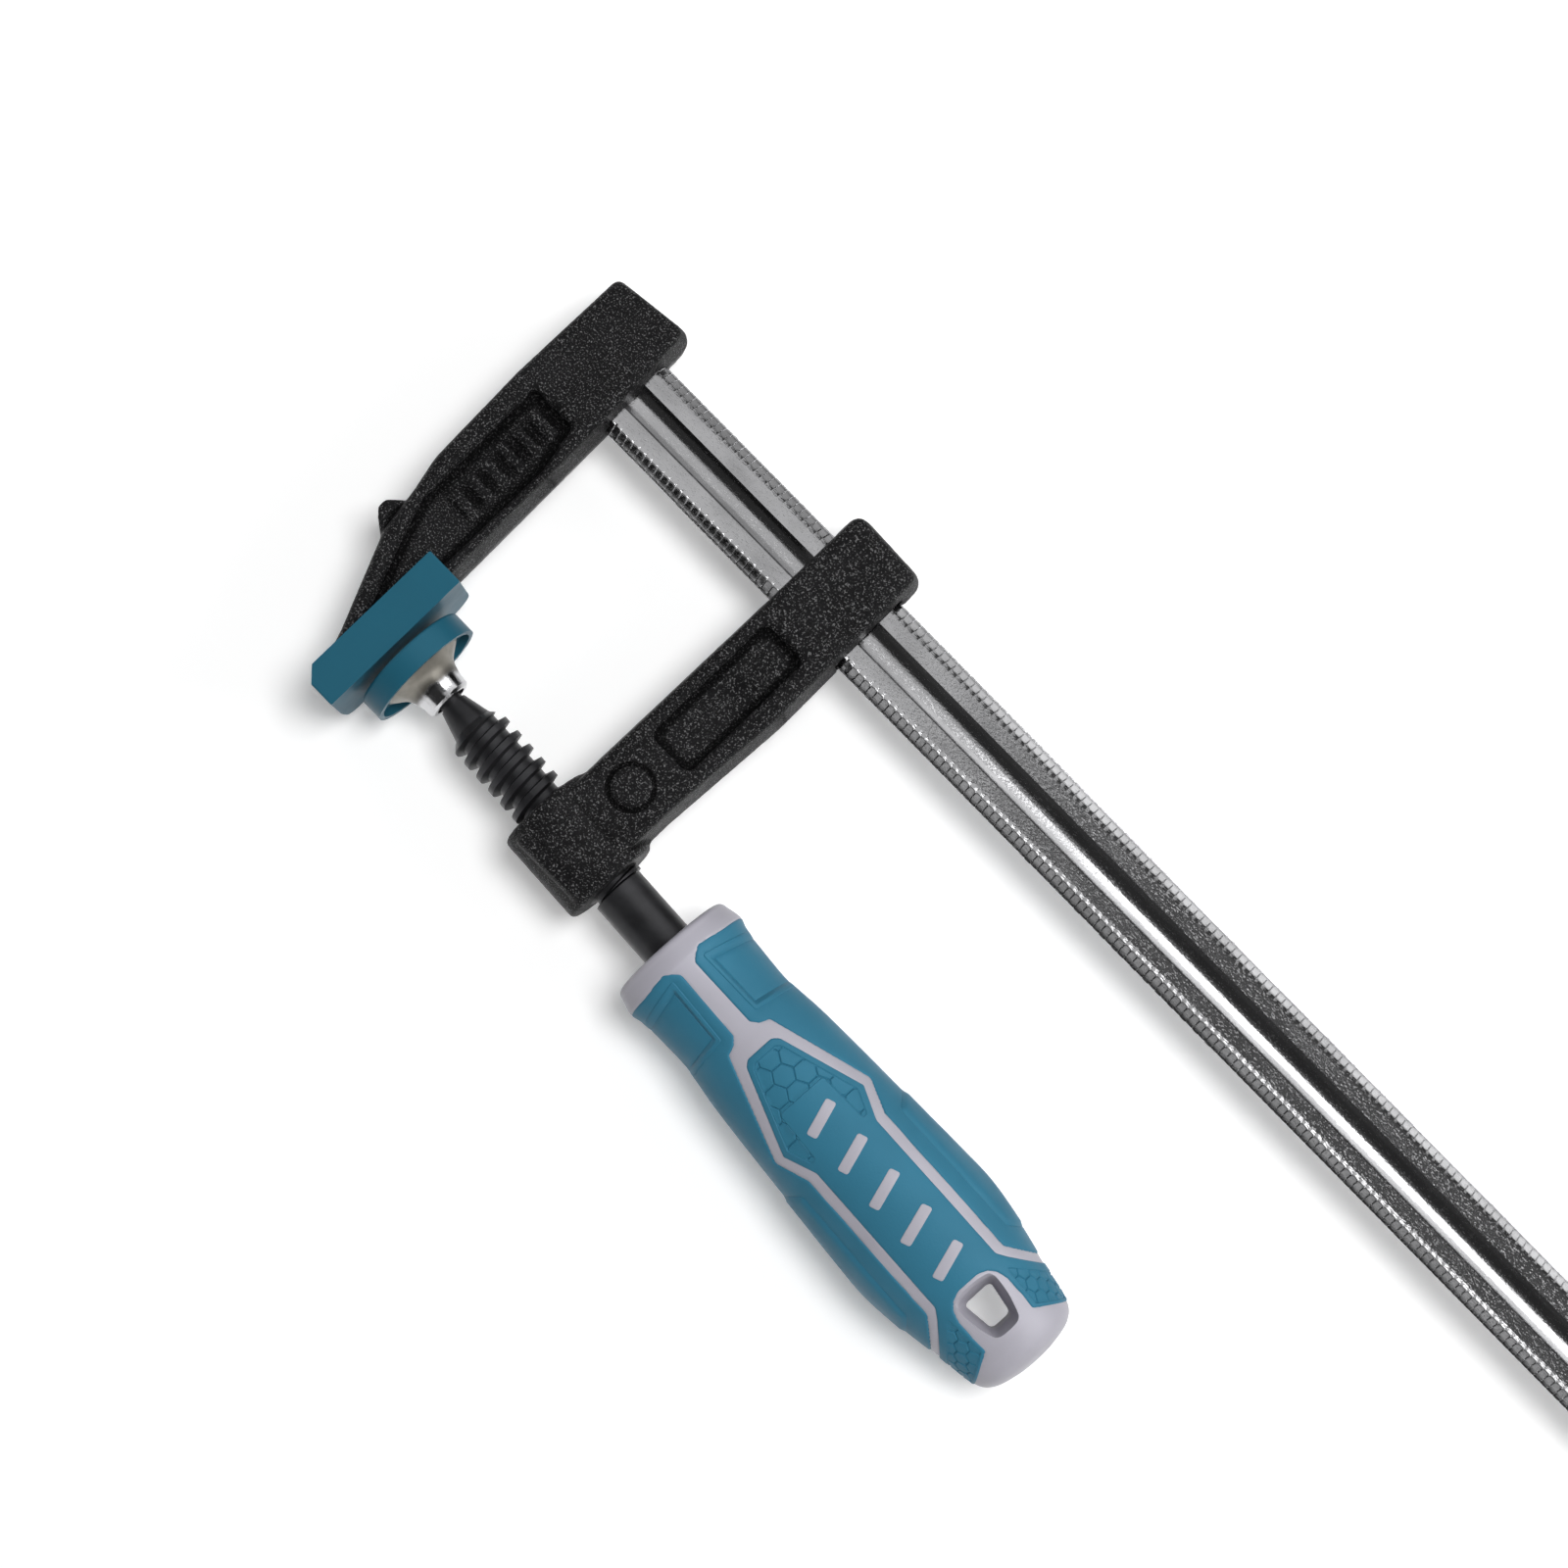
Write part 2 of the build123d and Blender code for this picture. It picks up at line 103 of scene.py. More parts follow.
PANEL_OUTLINE = [(22.9, 2.6), (23.8, 3.7), (38.5, 8.9), (44.1, 6.6), (72.7, 6.7), (74.4, 7.8),
                 (83.8, 15.0)]
PANEL_TAIL = [(89.6, 15.0), (83.2, 5.15), (80.5, 5.35), (76.9, 5.3), (75.0, 4.75), (73.8, 3.6),
              (73.2, 2.0)]
FRONT_RECESS = [(5.2, 3.1), (7.2, 14.0), (19.3, 14.0), (18.0, 3.6)]
THUMB_PLATE = [(40.4, 16.0), (45.2, 10.6), (70.9, 10.9), (76.2, 16.0)]
COMB_FRONT = [(24.1, 2.2), (24.9, 3.1), (38.3, 7.7), (42.4, 6.1), (42.4, 5.0), (33.2, 4.6)]
COMB_CORNER = [(75.2, 6.2), (84.0, 14.0), (88.5, 14.0), (83.0, 5.9)]
HOLE_OUTLINE = [(75.6, 2.95), (82.0, 2.0), (82.0, -2.0), (75.6, -2.95)]
GRIP_BASE = 0.2                            # below the profile, where the hard core's surface lies
GRIP_SINK = 1.2                            # below the profile, where the soft grip ends
UNROLL = 12.0                              # radius on which the outlines are laid flat
SEAM = UNROLL * math.pi / 2                # the handle's side line, laid flat
MIRRORED = (1, -1)                         # flat points taken across the handle's axis
BAR_COUNT = 5
BAR_START = 38.0
BAR_SPACING = 7.6
BAR_SIZE = (1.9, 6.4)
BAR_SLANT = math.radians(20.0)

# ---- the rail's section, in millimetres ----
EDGE_HEIGHT = 0.45                         # half of the narrow edge
BEVEL_WIDTH = 1.6                          # from the narrow edge to the flat
TEETH_WIDTH = 2.8                          # from the narrow edge past the teeth
GROOVE_RADIUS = 3.39
GROOVE_DEPTH = 1.1

# ---- the castings, in millimetres ----
DISC_PLACE = (63.4, 46.0)                  # past the rail's fixed end, and below its axis
DISC_RADIUS = 3.8
DISC_GROOVE = (0.4, 0.55)                  # depth, and half its width
BORE_REACH = 6.3                           # from the spindle's axis past the threaded bore
SLOT_REACH = 0.6                           # round the rail
FIT_FADE = 0.6                             # over which the cast skin sets in
RIB_REACH = 6.2                            # from the middle height past the ribs' tops

# ---- the stage, in metres but for the camera ----
CAMERA_TARGET = (79.86, 27.27)             # millimetres past the rail's fixed end, below its axis
CAMERA_LEAN = (5.0, 3.0)                   # degrees, along the rail and away from it
FLOOR_SIZE = 3.0
FLOOR_DROP = 0.0002
FLOOR_GLOW = 0.28
WORLD_LIGHT = 0.17
CEILING_HEIGHT = 1.25
CARD_HEIGHT = 0.03
CARD_GAP = 0.012                           # from the rail


# ---- settings ----

def length_property(name, description, default):
    """A size in metres from a default in millimetres."""
    return FloatProperty(name=name, description=description, default=default * MM, min=0.0,
                         unit="LENGTH", precision=5)


def colour_property(name, description, default):
    """A colour from red, green and blue between 0 and 255."""
    linear = [((c / 255 + 0.055) / 1.055) ** 2.4 for c in default]
    return FloatVectorProperty(name=name, description=description, default=linear, size=3,
                               min=0.0, max=1.0, subtype="COLOR")


class ClampMetalSettings(PropertyGroup):
    """Sizes and colours of the metal pieces."""
    tooth_pitch: length_property("Tooth pitch", "Distance between the rail's serrations", 1.45)
    tooth_depth: length_property("Tooth depth", "Depth of each serration", 0.25)
    rail_colour: colour_property("Rail", "Bright plated steel", (204, 204, 206))
    casting_grain: length_property("Casting grain", "Size of the sand texture", 0.6)
    casting_relief: length_property("Casting relief", "Height of the sand texture", 0.04)
    casting_cell: length_property("Casting cell", "Spacing of the cast skin's corners", 0.28)
    casting_softness: IntProperty(name="Casting softness", default=9, min=0, max=60,
                                  description="Rounds of smoothing over the casting's edges")
    casting_colour: colour_property("Casting", "Black powder coat", (19, 19, 20))
    spindle_colour: colour_property("Spindle", "Black oxide", (40, 40, 42))
    plate_colour: colour_property("Pressure plate", "Matte zinc", (144, 140, 131))


class ClampPlasticSettings(PropertyGroup):
    """Sizes and colours of the plastic and rubber pieces."""
    grip_proud: length_property("Grip height", "Soft grip above the hard core", 0.2)
    grip_edge: length_property("Grip edge", "Rounding of the soft grip's edges", 0.4)
    comb_pitch: length_property("Honeycomb pitch", "Distance between honeycomb cells", 3.6)
    comb_depth: length_property("Honeycomb depth", "Depth of the honeycomb's grooves", 0.23)
    bar_proud: length_property("Bar height", "Plain bars above the soft grip", 0.08)
    grip_colour: colour_property("Grip", "Soft grip", (54, 118, 144))
    core_colour: colour_property("Core", "Hard handle core", (178, 176, 186))
    pad_colour: colour_property("Pads", "Cap and swivel pad cover", (33, 93, 114))


class ClampStageSettings(PropertyGroup):
    """The floor, the lamps and the camera."""
    camera_distance: length_property("Camera distance", "From the camera to the clamp", 658.8)
    camera_turn: FloatProperty(name="Camera turn", description="Turn about the line of sight",
                               default=math.radians(45.7), subtype="ANGLE")
    field_of_view: FloatProperty(name="Field of view", description="Across the square picture",
                                 default=math.radians(22.28), subtype="ANGLE")
    floor_colour: colour_property("Floor", "Pale floor", (242, 242, 242))
    key_power: FloatProperty(name="Key lamp", description="Power of the large soft lamp",
                             default=11.5, min=0.0, unit="POWER")


# ---- materials ----

def node_group(name, inputs, outputs, tree_kind="ShaderNodeTree"):
    """An empty node group with named sockets, each a kind and perhaps a value."""
    tree = bpy.data.node_groups.new(name, tree_kind)
    for way, sockets in (("INPUT", inputs), ("OUTPUT", outputs)):
        for label, (kind, *value) in sockets.items():
            socket = tree.interface.new_socket(name=label, in_out=way,
                                               socket_type="NodeSocket" + kind)
            if value:
                socket.default_value = value[0]
    return tree, tree.nodes.new("NodeGroupInput"), tree.nodes.new("NodeGroupOutput")


def feed(tree, socket, value):
    """Links a socket to its source, or sets its number, its vector or its colour."""
    if isinstance(value, bpy.types.NodeSocket):
        tree.links.new(value, socket)
    else:
        colour = socket.type == "RGBA" and len(value) == 3
        socket.default_value = (*value, 1.0) if colour else value


def add_node(tree, kind, **values):
    """A node with its inputs fed by label; an underscore stands for a space."""
    node = tree.nodes.new(kind)
    for label, value in values.items():
        feed(tree, node.inputs[label.replace("_", " ")], value)
    return node


def add_noise(tree, vector, scale, detail, roughness=0.55):
    """A noise texture; scale is a socket or a number."""
    return add_node(tree, "ShaderNodeTexNoise", Detail=detail, Roughness=roughness,
                    Vector=vector, Scale=scale).outputs["Fac"]


def add_math(tree, operation, first, second, kind="ShaderNodeMath"):
    """A math node, or a vector one; each operand is a socket or a value."""
    node = tree.nodes.new(kind)
    node.operation = operation
    for socket, value in zip(node.inputs, (first, second)):
        feed(tree, socket, value)
    return next(socket for socket in node.outputs if socket.name == "Value")


def add_ramp(tree, value, low, high, out_low=0.0, out_high=1.0):
    """Maps a range of a value to another range, with soft ends."""
    node = add_node(tree, "ShaderNodeMapRange", From_Min=low, From_Max=high, To_Min=out_low,
                    To_Max=out_high, Value=value)
    node.interpolation_type = "SMOOTHSTEP"
    return node.outputs["Result"]


def add_mix(tree, factor, first, second):
    """A colour mix; each colour is a socket or three numbers."""
    node = tree.nodes.new("ShaderNodeMix")
    node.data_type = "RGBA"
    colour_inputs = [socket for socket in node.inputs if socket.type == "RGBA"]
    for socket, value in zip(colour_inputs, (first, second)):
        feed(tree, socket, value)
    tree.links.new(factor, node.inputs["Factor"])
    return next(socket for socket in node.outputs if socket.type == "RGBA")


def grain_group():
    """Fine raised grain with larger soft lumps, and a mask of its highest specks."""
    tree, source, sink = node_group(
        "surface_grain",
        {"Vector": ("Vector",), "Fine Scale": ("Float", 1800.0), "Lump Scale": ("Float", 500.0),
         "Lump Share": ("Float", 0.4)},
        {"Height": ("Float",), "Specks": ("Float",)})
    vector = source.outputs["Vector"]
    fine = add_noise(tree, vector, source.outputs["Fine Scale"], 2.0, 0.6)
    lumps = add_noise(tree, vector, source.outputs["Lump Scale"], 2.0)
    share = source.outputs["Lump Share"]
    height = add_math(tree, "ADD", add_math(tree, "MULTIPLY", lumps, share),
                      add_math(tree, "MULTIPLY", fine, add_math(tree, "SUBTRACT", 1.0, share)))
    tree.links.new(height, sink.inputs["Height"])
    tree.links.new(add_ramp(tree, fine, 0.54, 0.7), sink.inputs["Specks"])
    return tree


def drift_group():
    """Slow drift of colour and roughness over a surface, as handling leaves it."""
    tree, source, sink = node_group(
        "handling_drift",
        {"Vector": ("Vector",), "Scale": ("Float", 60.0), "Colour": ("Color",),
         "Worn Colour": ("Color",), "Smooth": ("Float", 0.3), "Rough": ("Float", 0.5)},
        {"Colour": ("Color",), "Roughness": ("Float",)})
    vector = source.outputs["Vector"]
    slow = add_noise(tree, vector, source.outputs["Scale"], 4.0)
    amount = add_ramp(tree, slow, 0.35, 0.68)
    tree.links.new(add_mix(tree, amount, source.outputs["Colour"], source.outputs["Worn Colour"]),
                   sink.inputs["Colour"])
    tree.links.new(add_ramp(tree, slow, 0.3, 0.7, source.outputs["Smooth"],
                            source.outputs["Rough"]), sink.inputs["Roughness"])
    return tree


class Finish:
    """A material under construction: its shader, its object coordinates and the shared groups."""
    groups = {}

    def __init__(self, name, **sockets):
        self.material = bpy.data.materials.new(name)
        self.material.use_nodes = True
        self.tree = self.material.node_tree
        self.shader = self.tree.nodes["Principled BSDF"]
        self.coords = self.tree.nodes.new("ShaderNodeTexCoord").outputs["Object"]
        self.set(**sockets)

    def set(self, **sockets):
        """Feeds the shader's inputs by label."""
        for label, value in sockets.items():
            feed(self.tree, self.shader.inputs[label.replace("_", " ")], value)

    def group(self, build, vector=None, **values):
        """Places a shared group with this material's own values."""
        if build not in Finish.groups:
            Finish.groups[build] = build()
        node = self.tree.nodes.new("ShaderNodeGroup")
        node.node_tree = Finish.groups[build]
        for label, value in {"Vector": vector or self.coords, **values}.items():
            feed(self.tree, node.inputs[label.replace("_", " ")], value)
        return node.outputs

    def drift(self, scale, colour, worn, smooth, rough, vector=None):
        """The drift between a colour and a worn share of it, and between two roughnesses."""
        return self.group(drift_group, vector, Scale=scale, Colour=tuple(colour),
                          Worn_Colour=tuple(c * worn for c in colour), Smooth=smooth, Rough=rough)

    def grain(self, fine, lumps, share, vector=None):
        """The raised grain."""
        return self.group(grain_group, vector, Fine_Scale=fine, Lump_Scale=lumps,
                          Lump_Share=share)

    def attribute(self, name):
        """A value that the mesh carries."""
        node = self.tree.nodes.new("ShaderNodeAttribute")
        node.attribute_name = name
        return node.outputs["Fac"]

    def bump(self, height, strength, distance):
        """Raises the surface, and ends the material."""
        node = add_node(self.tree, "ShaderNodeBump", Strength=strength, Distance=distance,
                        Height=height)
        self.set(Normal=node.outputs["Normal"])
        return self.material


def drifting(name, drift, grain, bump, **sockets):
    """A material with nothing but drift, grain and bump, each given as its method's values."""
    finish = Finish(name, **sockets)
    drift = finish.drift(*drift)
    finish.set(Base_Color=drift["Colour"], Roughness=drift["Roughness"])
    return finish.bump(finish.grain(*grain)["Height"], *bump)


def plated_steel(settings):
    """Bright plating over rolled steel: mirror patches, cloudy patches and fine dull specks."""
    finish = Finish("plated_steel", Metallic=1.0)
    tree = finish.tree
    along = add_node(tree, "ShaderNodeMapping", Scale=(0.45, 1.0, 1.0),
                     Vector=finish.coords).outputs["Vector"]
    drift = finish.drift(180.0, settings.rail_colour, 0.8, 0.06, 0.16, along)
    height = finish.grain(3600.0, 1300.0, 0.2, along)["Height"]
    # painted shade: near black along the groove's −Y edge, patchy with the grain
    edge_shade_mask = add_math(tree, "MULTIPLY", finish.attribute("groove_shade"),
                     add_ramp(tree, height, 0.36, 0.5, 0.75, 1.0))
    dull = add_ramp(tree, height, 0.5, 0.62, 0.0, 0.28)
    finish.set(Base_Color=add_mix(tree, edge_shade_mask, drift["Colour"], (0.012, 0.012, 0.012)),
               Roughness=add_math(tree, "MAXIMUM", drift["Roughness"], dull))
    return finish.bump(height, 1.0, 0.00003)


def sand_coat(settings):
    """Black powder coat over a sand casting, with painted shade in its hollows and light specks
    that are grain tone and partly painted glints.
    """
    finish = Finish("sand_coat")
    tree = finish.tree
    drift = finish.drift(90.0, settings.casting_colour, 1.5, 0.34, 0.46)
    grain = finish.grain(3300.0, 1100.0, 0.2)
    # painted shade: hollows are darkened towards near black and lose most of their shine
    unshaded_share = add_ramp(tree, finish.attribute("hollow"), 0.02, 0.16, 1.0, 0.25)
    # light specks at the grain's peaks: grain tone, and partly painted glints
    share = add_math(tree, "MULTIPLY", grain["Specks"], 0.85)
    specks_and_glints = add_mix(tree, share, drift["Colour"], (0.2, 0.2, 0.203))
    finish.set(Base_Color=add_mix(tree, unshaded_share, (0.001, 0.001, 0.001), specks_and_glints),
               Roughness=drift["Roughness"],
               Specular_IOR_Level=add_math(tree, "MULTIPLY", unshaded_share, 0.08))
    return finish.bump(grain["Height"], 1.0, 0.00024)


def black_oxide(settings):
    """Oiled black oxide on machined steel."""
    return drifting("black_oxide", (140.0, settings.spindle_colour, 1.7, 0.3, 0.46),
                    (3600.0, 1200.0, 0.5), (0.3, 0.00005), Metallic=0.55)


def pin_steel(settings):
    """Zinc plating on the stop pin."""
    return drifting("pin_steel", (220.0, settings.plate_colour, 0.72, 0.25, 0.4),
                    (4200.0, 1500.0, 0.5), (0.2, 0.00004), Metallic=0.9)


def rolled_plate(settings):
    """The pressure plate: matte zinc, burnished where it is rolled round the ball, with a band of
    painted shade round that collar.
    """
    finish = Finish("rolled_plate")
    tree = finish.tree
    along = add_math(tree, "DOT_PRODUCT", finish.coords, tuple(SCREW), "ShaderNodeVectorMath")
    mouth = float((node_points("pad_plate") @ SCREW).max()) * MM
    cloud = add_noise(tree, finish.coords, 500.0, 3.0)
    # metres back from the plate's mouth, a little uneven
    back = add_math(tree, "ADD", add_math(tree, "SUBTRACT", mouth, along),
                    add_math(tree, "MULTIPLY", cloud, 0.0012))
    polish = add_ramp(tree, back, 0.0036, 0.0044, 1.0, 0.0)
    # painted shade: a dark band round the burnished collar
    collar_shade = add_math(tree, "MULTIPLY", add_ramp(tree, back, 0.0030, 0.0040),
                      add_ramp(tree, back, 0.0042, 0.0056, 0.65, 0.0))
    drift = finish.drift(300.0, settings.plate_colour, 0.8, 0.3, 0.45)
    colour = add_mix(tree, polish, drift["Colour"], tuple(settings.rail_colour))
    finish.set(Base_Color=add_mix(tree, collar_shade, colour, (0.03, 0.028, 0.026)),
               Metallic=add_math(tree, "ADD", 0.45, add_math(tree, "MULTIPLY", polish, 0.55)),
               Roughness=add_math(tree, "SUBTRACT", drift["Roughness"],
                                  add_math(tree, "MULTIPLY", polish, 0.2)))
    return finish.bump(finish.grain(4200.0, 700.0, 0.6)["Height"], 0.5, 0.00006)


def moulded(name, colour, roughness, grain_size, strength, shine=0.35):
    """Moulded plastic or rubber with a fine spark-eroded texture."""
    return drifting(name, (70.0, colour, 0.93, *roughness),
                    (1.0 / grain_size, 0.3 / grain_size, 0.25), (strength, 0.00008),
                    Specular_IOR_Level=shine)


# ---- meshes ----

def mesh_object(name, points, faces, material):
    """A mesh from corners in millimetres."""
    mesh = bpy.data.meshes.new(name)
    mesh.from_pydata((np.asarray(points) * MM).tolist(), [], [list(map(int, f)) for f in faces])
    return finish_mesh(name, mesh, material)


def finish_mesh(name, mesh, material, smooth_angle=35.0):
    """Puts a mesh in the scene, smooth but for its creases."""
    set_material(mesh, material)
    smooth_but_creases(mesh, smooth_angle)
    return put(name, mesh)


def smooth_but_creases(mesh, angle):
    """Shades a mesh smooth but for the edges sharper than an angle."""
    mesh.shade_smooth()
    mesh.set_sharp_from_angle(angle=math.radians(angle))


def set_material(mesh, material):
    """Leaves a mesh with one material."""
    mesh.materials.clear()
    mesh.materials.append(material)


def put(name, data):
    """A new object in the scene."""
    made = bpy.data.objects.new(name, data)
    bpy.context.scene.collection.objects.link(made)
    return made


def modified(piece, kind, inputs=None, **values):
    """What one modifier makes of a piece, as a plain mesh; the piece goes."""
    modifier = piece.modifiers.new(kind, kind)
    for name, value in values.items():
        setattr(modifier, name, value)
    for name, value in (inputs or {}).items():
        modifier[modifier.node_group.interface.items_tree[name].identifier] = value
    graph = bpy.context.evaluated_depsgraph_get()
    graph.update()
    mesh = bpy.data.meshes.new_from_object(piece.evaluated_get(graph), depsgraph=graph)
    bpy.data.objects.remove(piece)
    return mesh


@contextmanager
def opened(mesh):
    """A mesh open for changes, which are written back at the end."""
    work = bmesh.new()
    work.from_mesh(mesh)
    yield work
    work.to_mesh(mesh)
    work.free()


def tube_faces(rings, count):
    """The faces between rings that have the same count of corners."""
    return [(row + k, row + (k + 1) % count, row + (k + 1) % count + count, row + k + count)
            for row in range(0, (rings - 1) * count, count) for k in range(count)]


def make_outward(mesh):
    """Turns every face outwards."""
    with opened(mesh) as work:
        bmesh.ops.recalc_face_normals(work, faces=work.faces)


def smoothed(points, edges, weight, rounds):
    """Corners moved towards their neighbours, again and again."""
    count = np.bincount(edges.ravel(), minlength=len(points))[:, None]
    for _ in range(rounds):
        total = np.zeros_like(points)
        for a, b in ((0, 1), (1, 0)):
            for axis in range(3):
                total[:, axis] += np.bincount(edges[:, a], points[edges[:, b], axis],
                                              minlength=len(points))
        points = points + (total / count - points) * weight[:, None]
    return points


def dress(node, material):
    """Gives a CAD node a material in place of its own."""
    set_material(frame["nodes"][node].data, material)


def rounded(corners, radius, step):
    """A closed line with its corners rounded and its sides divided."""
    corners = [np.array(c, float) for c in corners]
    before, after = corners[-1:] + corners[:-1], corners[1:] + corners[:1]
    out = []
    for last, corner, following in zip(before, corners, after):
        to_last, to_next = last - corner, following - corner
        reach = min(np.linalg.norm(to_last), np.linalg.norm(to_next)) * 0.45
        to_last /= np.linalg.norm(to_last)
        to_next /= np.linalg.norm(to_next)
        half = math.acos(np.clip(to_last @ to_next, -1, 1)) / 2
        cut = min(reach, radius / math.tan(half))
        start, end = corner + to_last * cut, corner + to_next * cut
        count = max(2, int((math.pi - 2 * half) * cut / 0.12) + 2)
        for share in np.linspace(0, 1, count):
            out.append((1 - share) ** 2 * start + 2 * share * (1 - share) * corner
                       + share ** 2 * end)
    return divided(out, step)


def divided(points, step):
    """The same closed line with points no further apart than a step."""
    out = []
    for start, end in zip(points, points[1:] + points[:1]):
        count = max(1, math.ceil(np.linalg.norm(np.subtract(end, start)) / step))
        out += [np.add(start, np.subtract(end, start) * k / count) for k in range(count)]
    kept = [out[0]]
    for point in out[1:]:
        if np.linalg.norm(point - kept[-1]) > 0.02:
            kept.append(point)
    return np.array(kept)


def smooth_profile(points):
    """A curve through the profile's points."""
    p = np.array([points[0], *points, points[-1]], float)
    out = []
    for a, b, c, d in zip(p, p[1:], p[2:], p[3:]):
        for t in np.linspace(0, 1, 12, endpoint=False):
            out.append(0.5 * (2 * b + (c - a) * t + (2 * a - 5 * b + 4 * c - d) * t ** 2
                              + (3 * b - a - 3 * c + d) * t ** 3))
    out.append(p[-1])
    return np.array(out)


PROFILE_CURVE = smooth_profile(HANDLE_PROFILE)


def handle_radius(station):
    """The handle's radius at a distance from its front."""
    return np.interp(station, PROFILE_CURVE[:, 0], PROFILE_CURVE[:, 1])


def lay_flat(points):
    """Outline points seen from above, laid flat round the handle."""
    points = np.asarray(points, float)
    share = np.clip(points[:, 1] / handle_radius(points[:, 0]), -1, 1)
    return np.column_stack([points[:, 0], UNROLL * np.arcsin(share)])


def flat_outline(corners, radius):
    """A closed outline with rounded corners laid flat, cut off at the handle's side line."""
    line = rounded(corners, radius, 0.08)
    over = np.abs(line[:, 1]) >= handle_radius(line[:, 0])
    out = []
    for k in range(len(line)):
        following = (k + 1) % len(line)
        if not over[k]:
            out.append(lay_flat(line[k:k + 1])[0])
        if over[k] != over[following]:
            side = math.copysign(SEAM, line[k, 1])
            out.append(np.array(((line[k, 0] + line[following, 0]) / 2, side)))
    return divided(out, 0.4)


def in_space(station, across, height):
    """Points behind the handle's front, and across and above its axis."""
    out = BALL + np.outer(HANDLE_FRONT + station, SCREW)
    return out + np.outer(across, SIDE) + np.outer(height, UP)


def turned(station, radius, angle):
    """Points in space round the handle's axis."""
    return in_space(station, radius * np.sin(angle), radius * np.cos(angle))


def on_handle(flat, lift):
    """Points in space from flat points and their heights above the handle's surface."""
    return turned(flat[:, 0], handle_radius(flat[:, 0]) + lift, flat[:, 1] / UNROLL)


def inside(outline, points):
    """Which points lie inside a closed outline."""
    result = np.zeros(len(points), bool)
    start, end = outline, np.roll(outline, -1, axis=0)
    order = np.argsort(points[:, 1])
    sorted_y = points[order, 1]
    for (x0, y0), (x1, y1) in zip(start, end):
        first, last = np.searchsorted(sorted_y, sorted((y0, y1)))
        if first < last:
            spots = order[first:last]
            x = x0 + (points[spots, 1] - y0) / (y1 - y0) * (x1 - x0)
            result[spots] ^= points[spots, 0] < x
    return result


def line_distance(starts, ends, points):
    """Distance from each point to the nearest of many straight runs, up to 2.5 mm."""
    reach = 2.5
    best = np.full(len(points), reach)
    low, high = np.minimum(starts, ends)[:, 0] - reach, np.maximum(starts, ends)[:, 0] + reach
    order = np.argsort(points[:, 0])
    for first in range(0, len(points), 300):
        chunk = order[first:first + 300]
        some = points[chunk]
        near = (low < some[-1, 0]) & (high > some[0, 0])
        if not near.any():
            continue
        start, run = starts[near], (ends - starts)[near]
        gap = some[:, None] - start[None]
        share = np.clip((gap * run[None]).sum(2) / np.maximum((run ** 2).sum(1), 1e-12), 0, 1)
        away = np.linalg.norm(gap - share[..., None] * run[None], axis=2)
        best[chunk] = np.minimum(away.min(1), reach)
    return best


class Region:
    """A closed outline laid flat, with its distance to any point, positive inside.

    The handle's side line isn't an edge: the shape goes on round the handle there.
    """

    def __init__(self, outline):
        self.outline = np.asarray(outline, float)
        ends = np.roll(self.outline, -1, axis=0)
        real = (np.abs(self.outline[:, 1]) < SEAM - 1e-3) | (np.abs(ends[:, 1]) < SEAM - 1e-3)
        self.starts, self.ends = self.outline[real], ends[real]

    def depth(self, points):
        """How far inside each point lies."""
        distance = line_distance(self.starts, self.ends, points)
        off_side = np.clip(points, (-np.inf, 0.02 - SEAM), (np.inf, SEAM - 0.02))
        return np.where(inside(self.outline, off_side), distance, -distance)

    def ring(self, offset):
        """The outline moved inwards, as short runs."""
        run = self.ends - self.starts
        run /= np.linalg.norm(run, axis=1)[:, None]
        middle = (self.starts + self.ends) / 2
        normal = np.column_stack([-run[:, 1], run[:, 0]])
        probe = inside(self.outline, middle + normal * 1e-3)
        normal = np.where(probe[:, None], normal, -normal)
        points = middle + normal * offset
        good = self.depth(points) > 0.93 * offset - 1e-3
        step = np.linalg.norm(points[1:] - points[:-1], axis=1)
        keep = good[:-1] & good[1:] & (step < 0.8) & (step > 1e-3)
        return np.stack([points[:-1], points[1:]], axis=1)[keep]

    def holds(self, runs, margin):
        """The runs that lie inside by a margin."""
        depth = self.depth(runs.reshape(-1, 2)).reshape(-1, 2)
        return runs[(depth > margin).all(1)]


def off_seam(runs):
    """The runs that keep clear of the handle's side line."""
    return runs[(np.abs(runs[:, :, 1]) < SEAM - 0.05).all(1)]


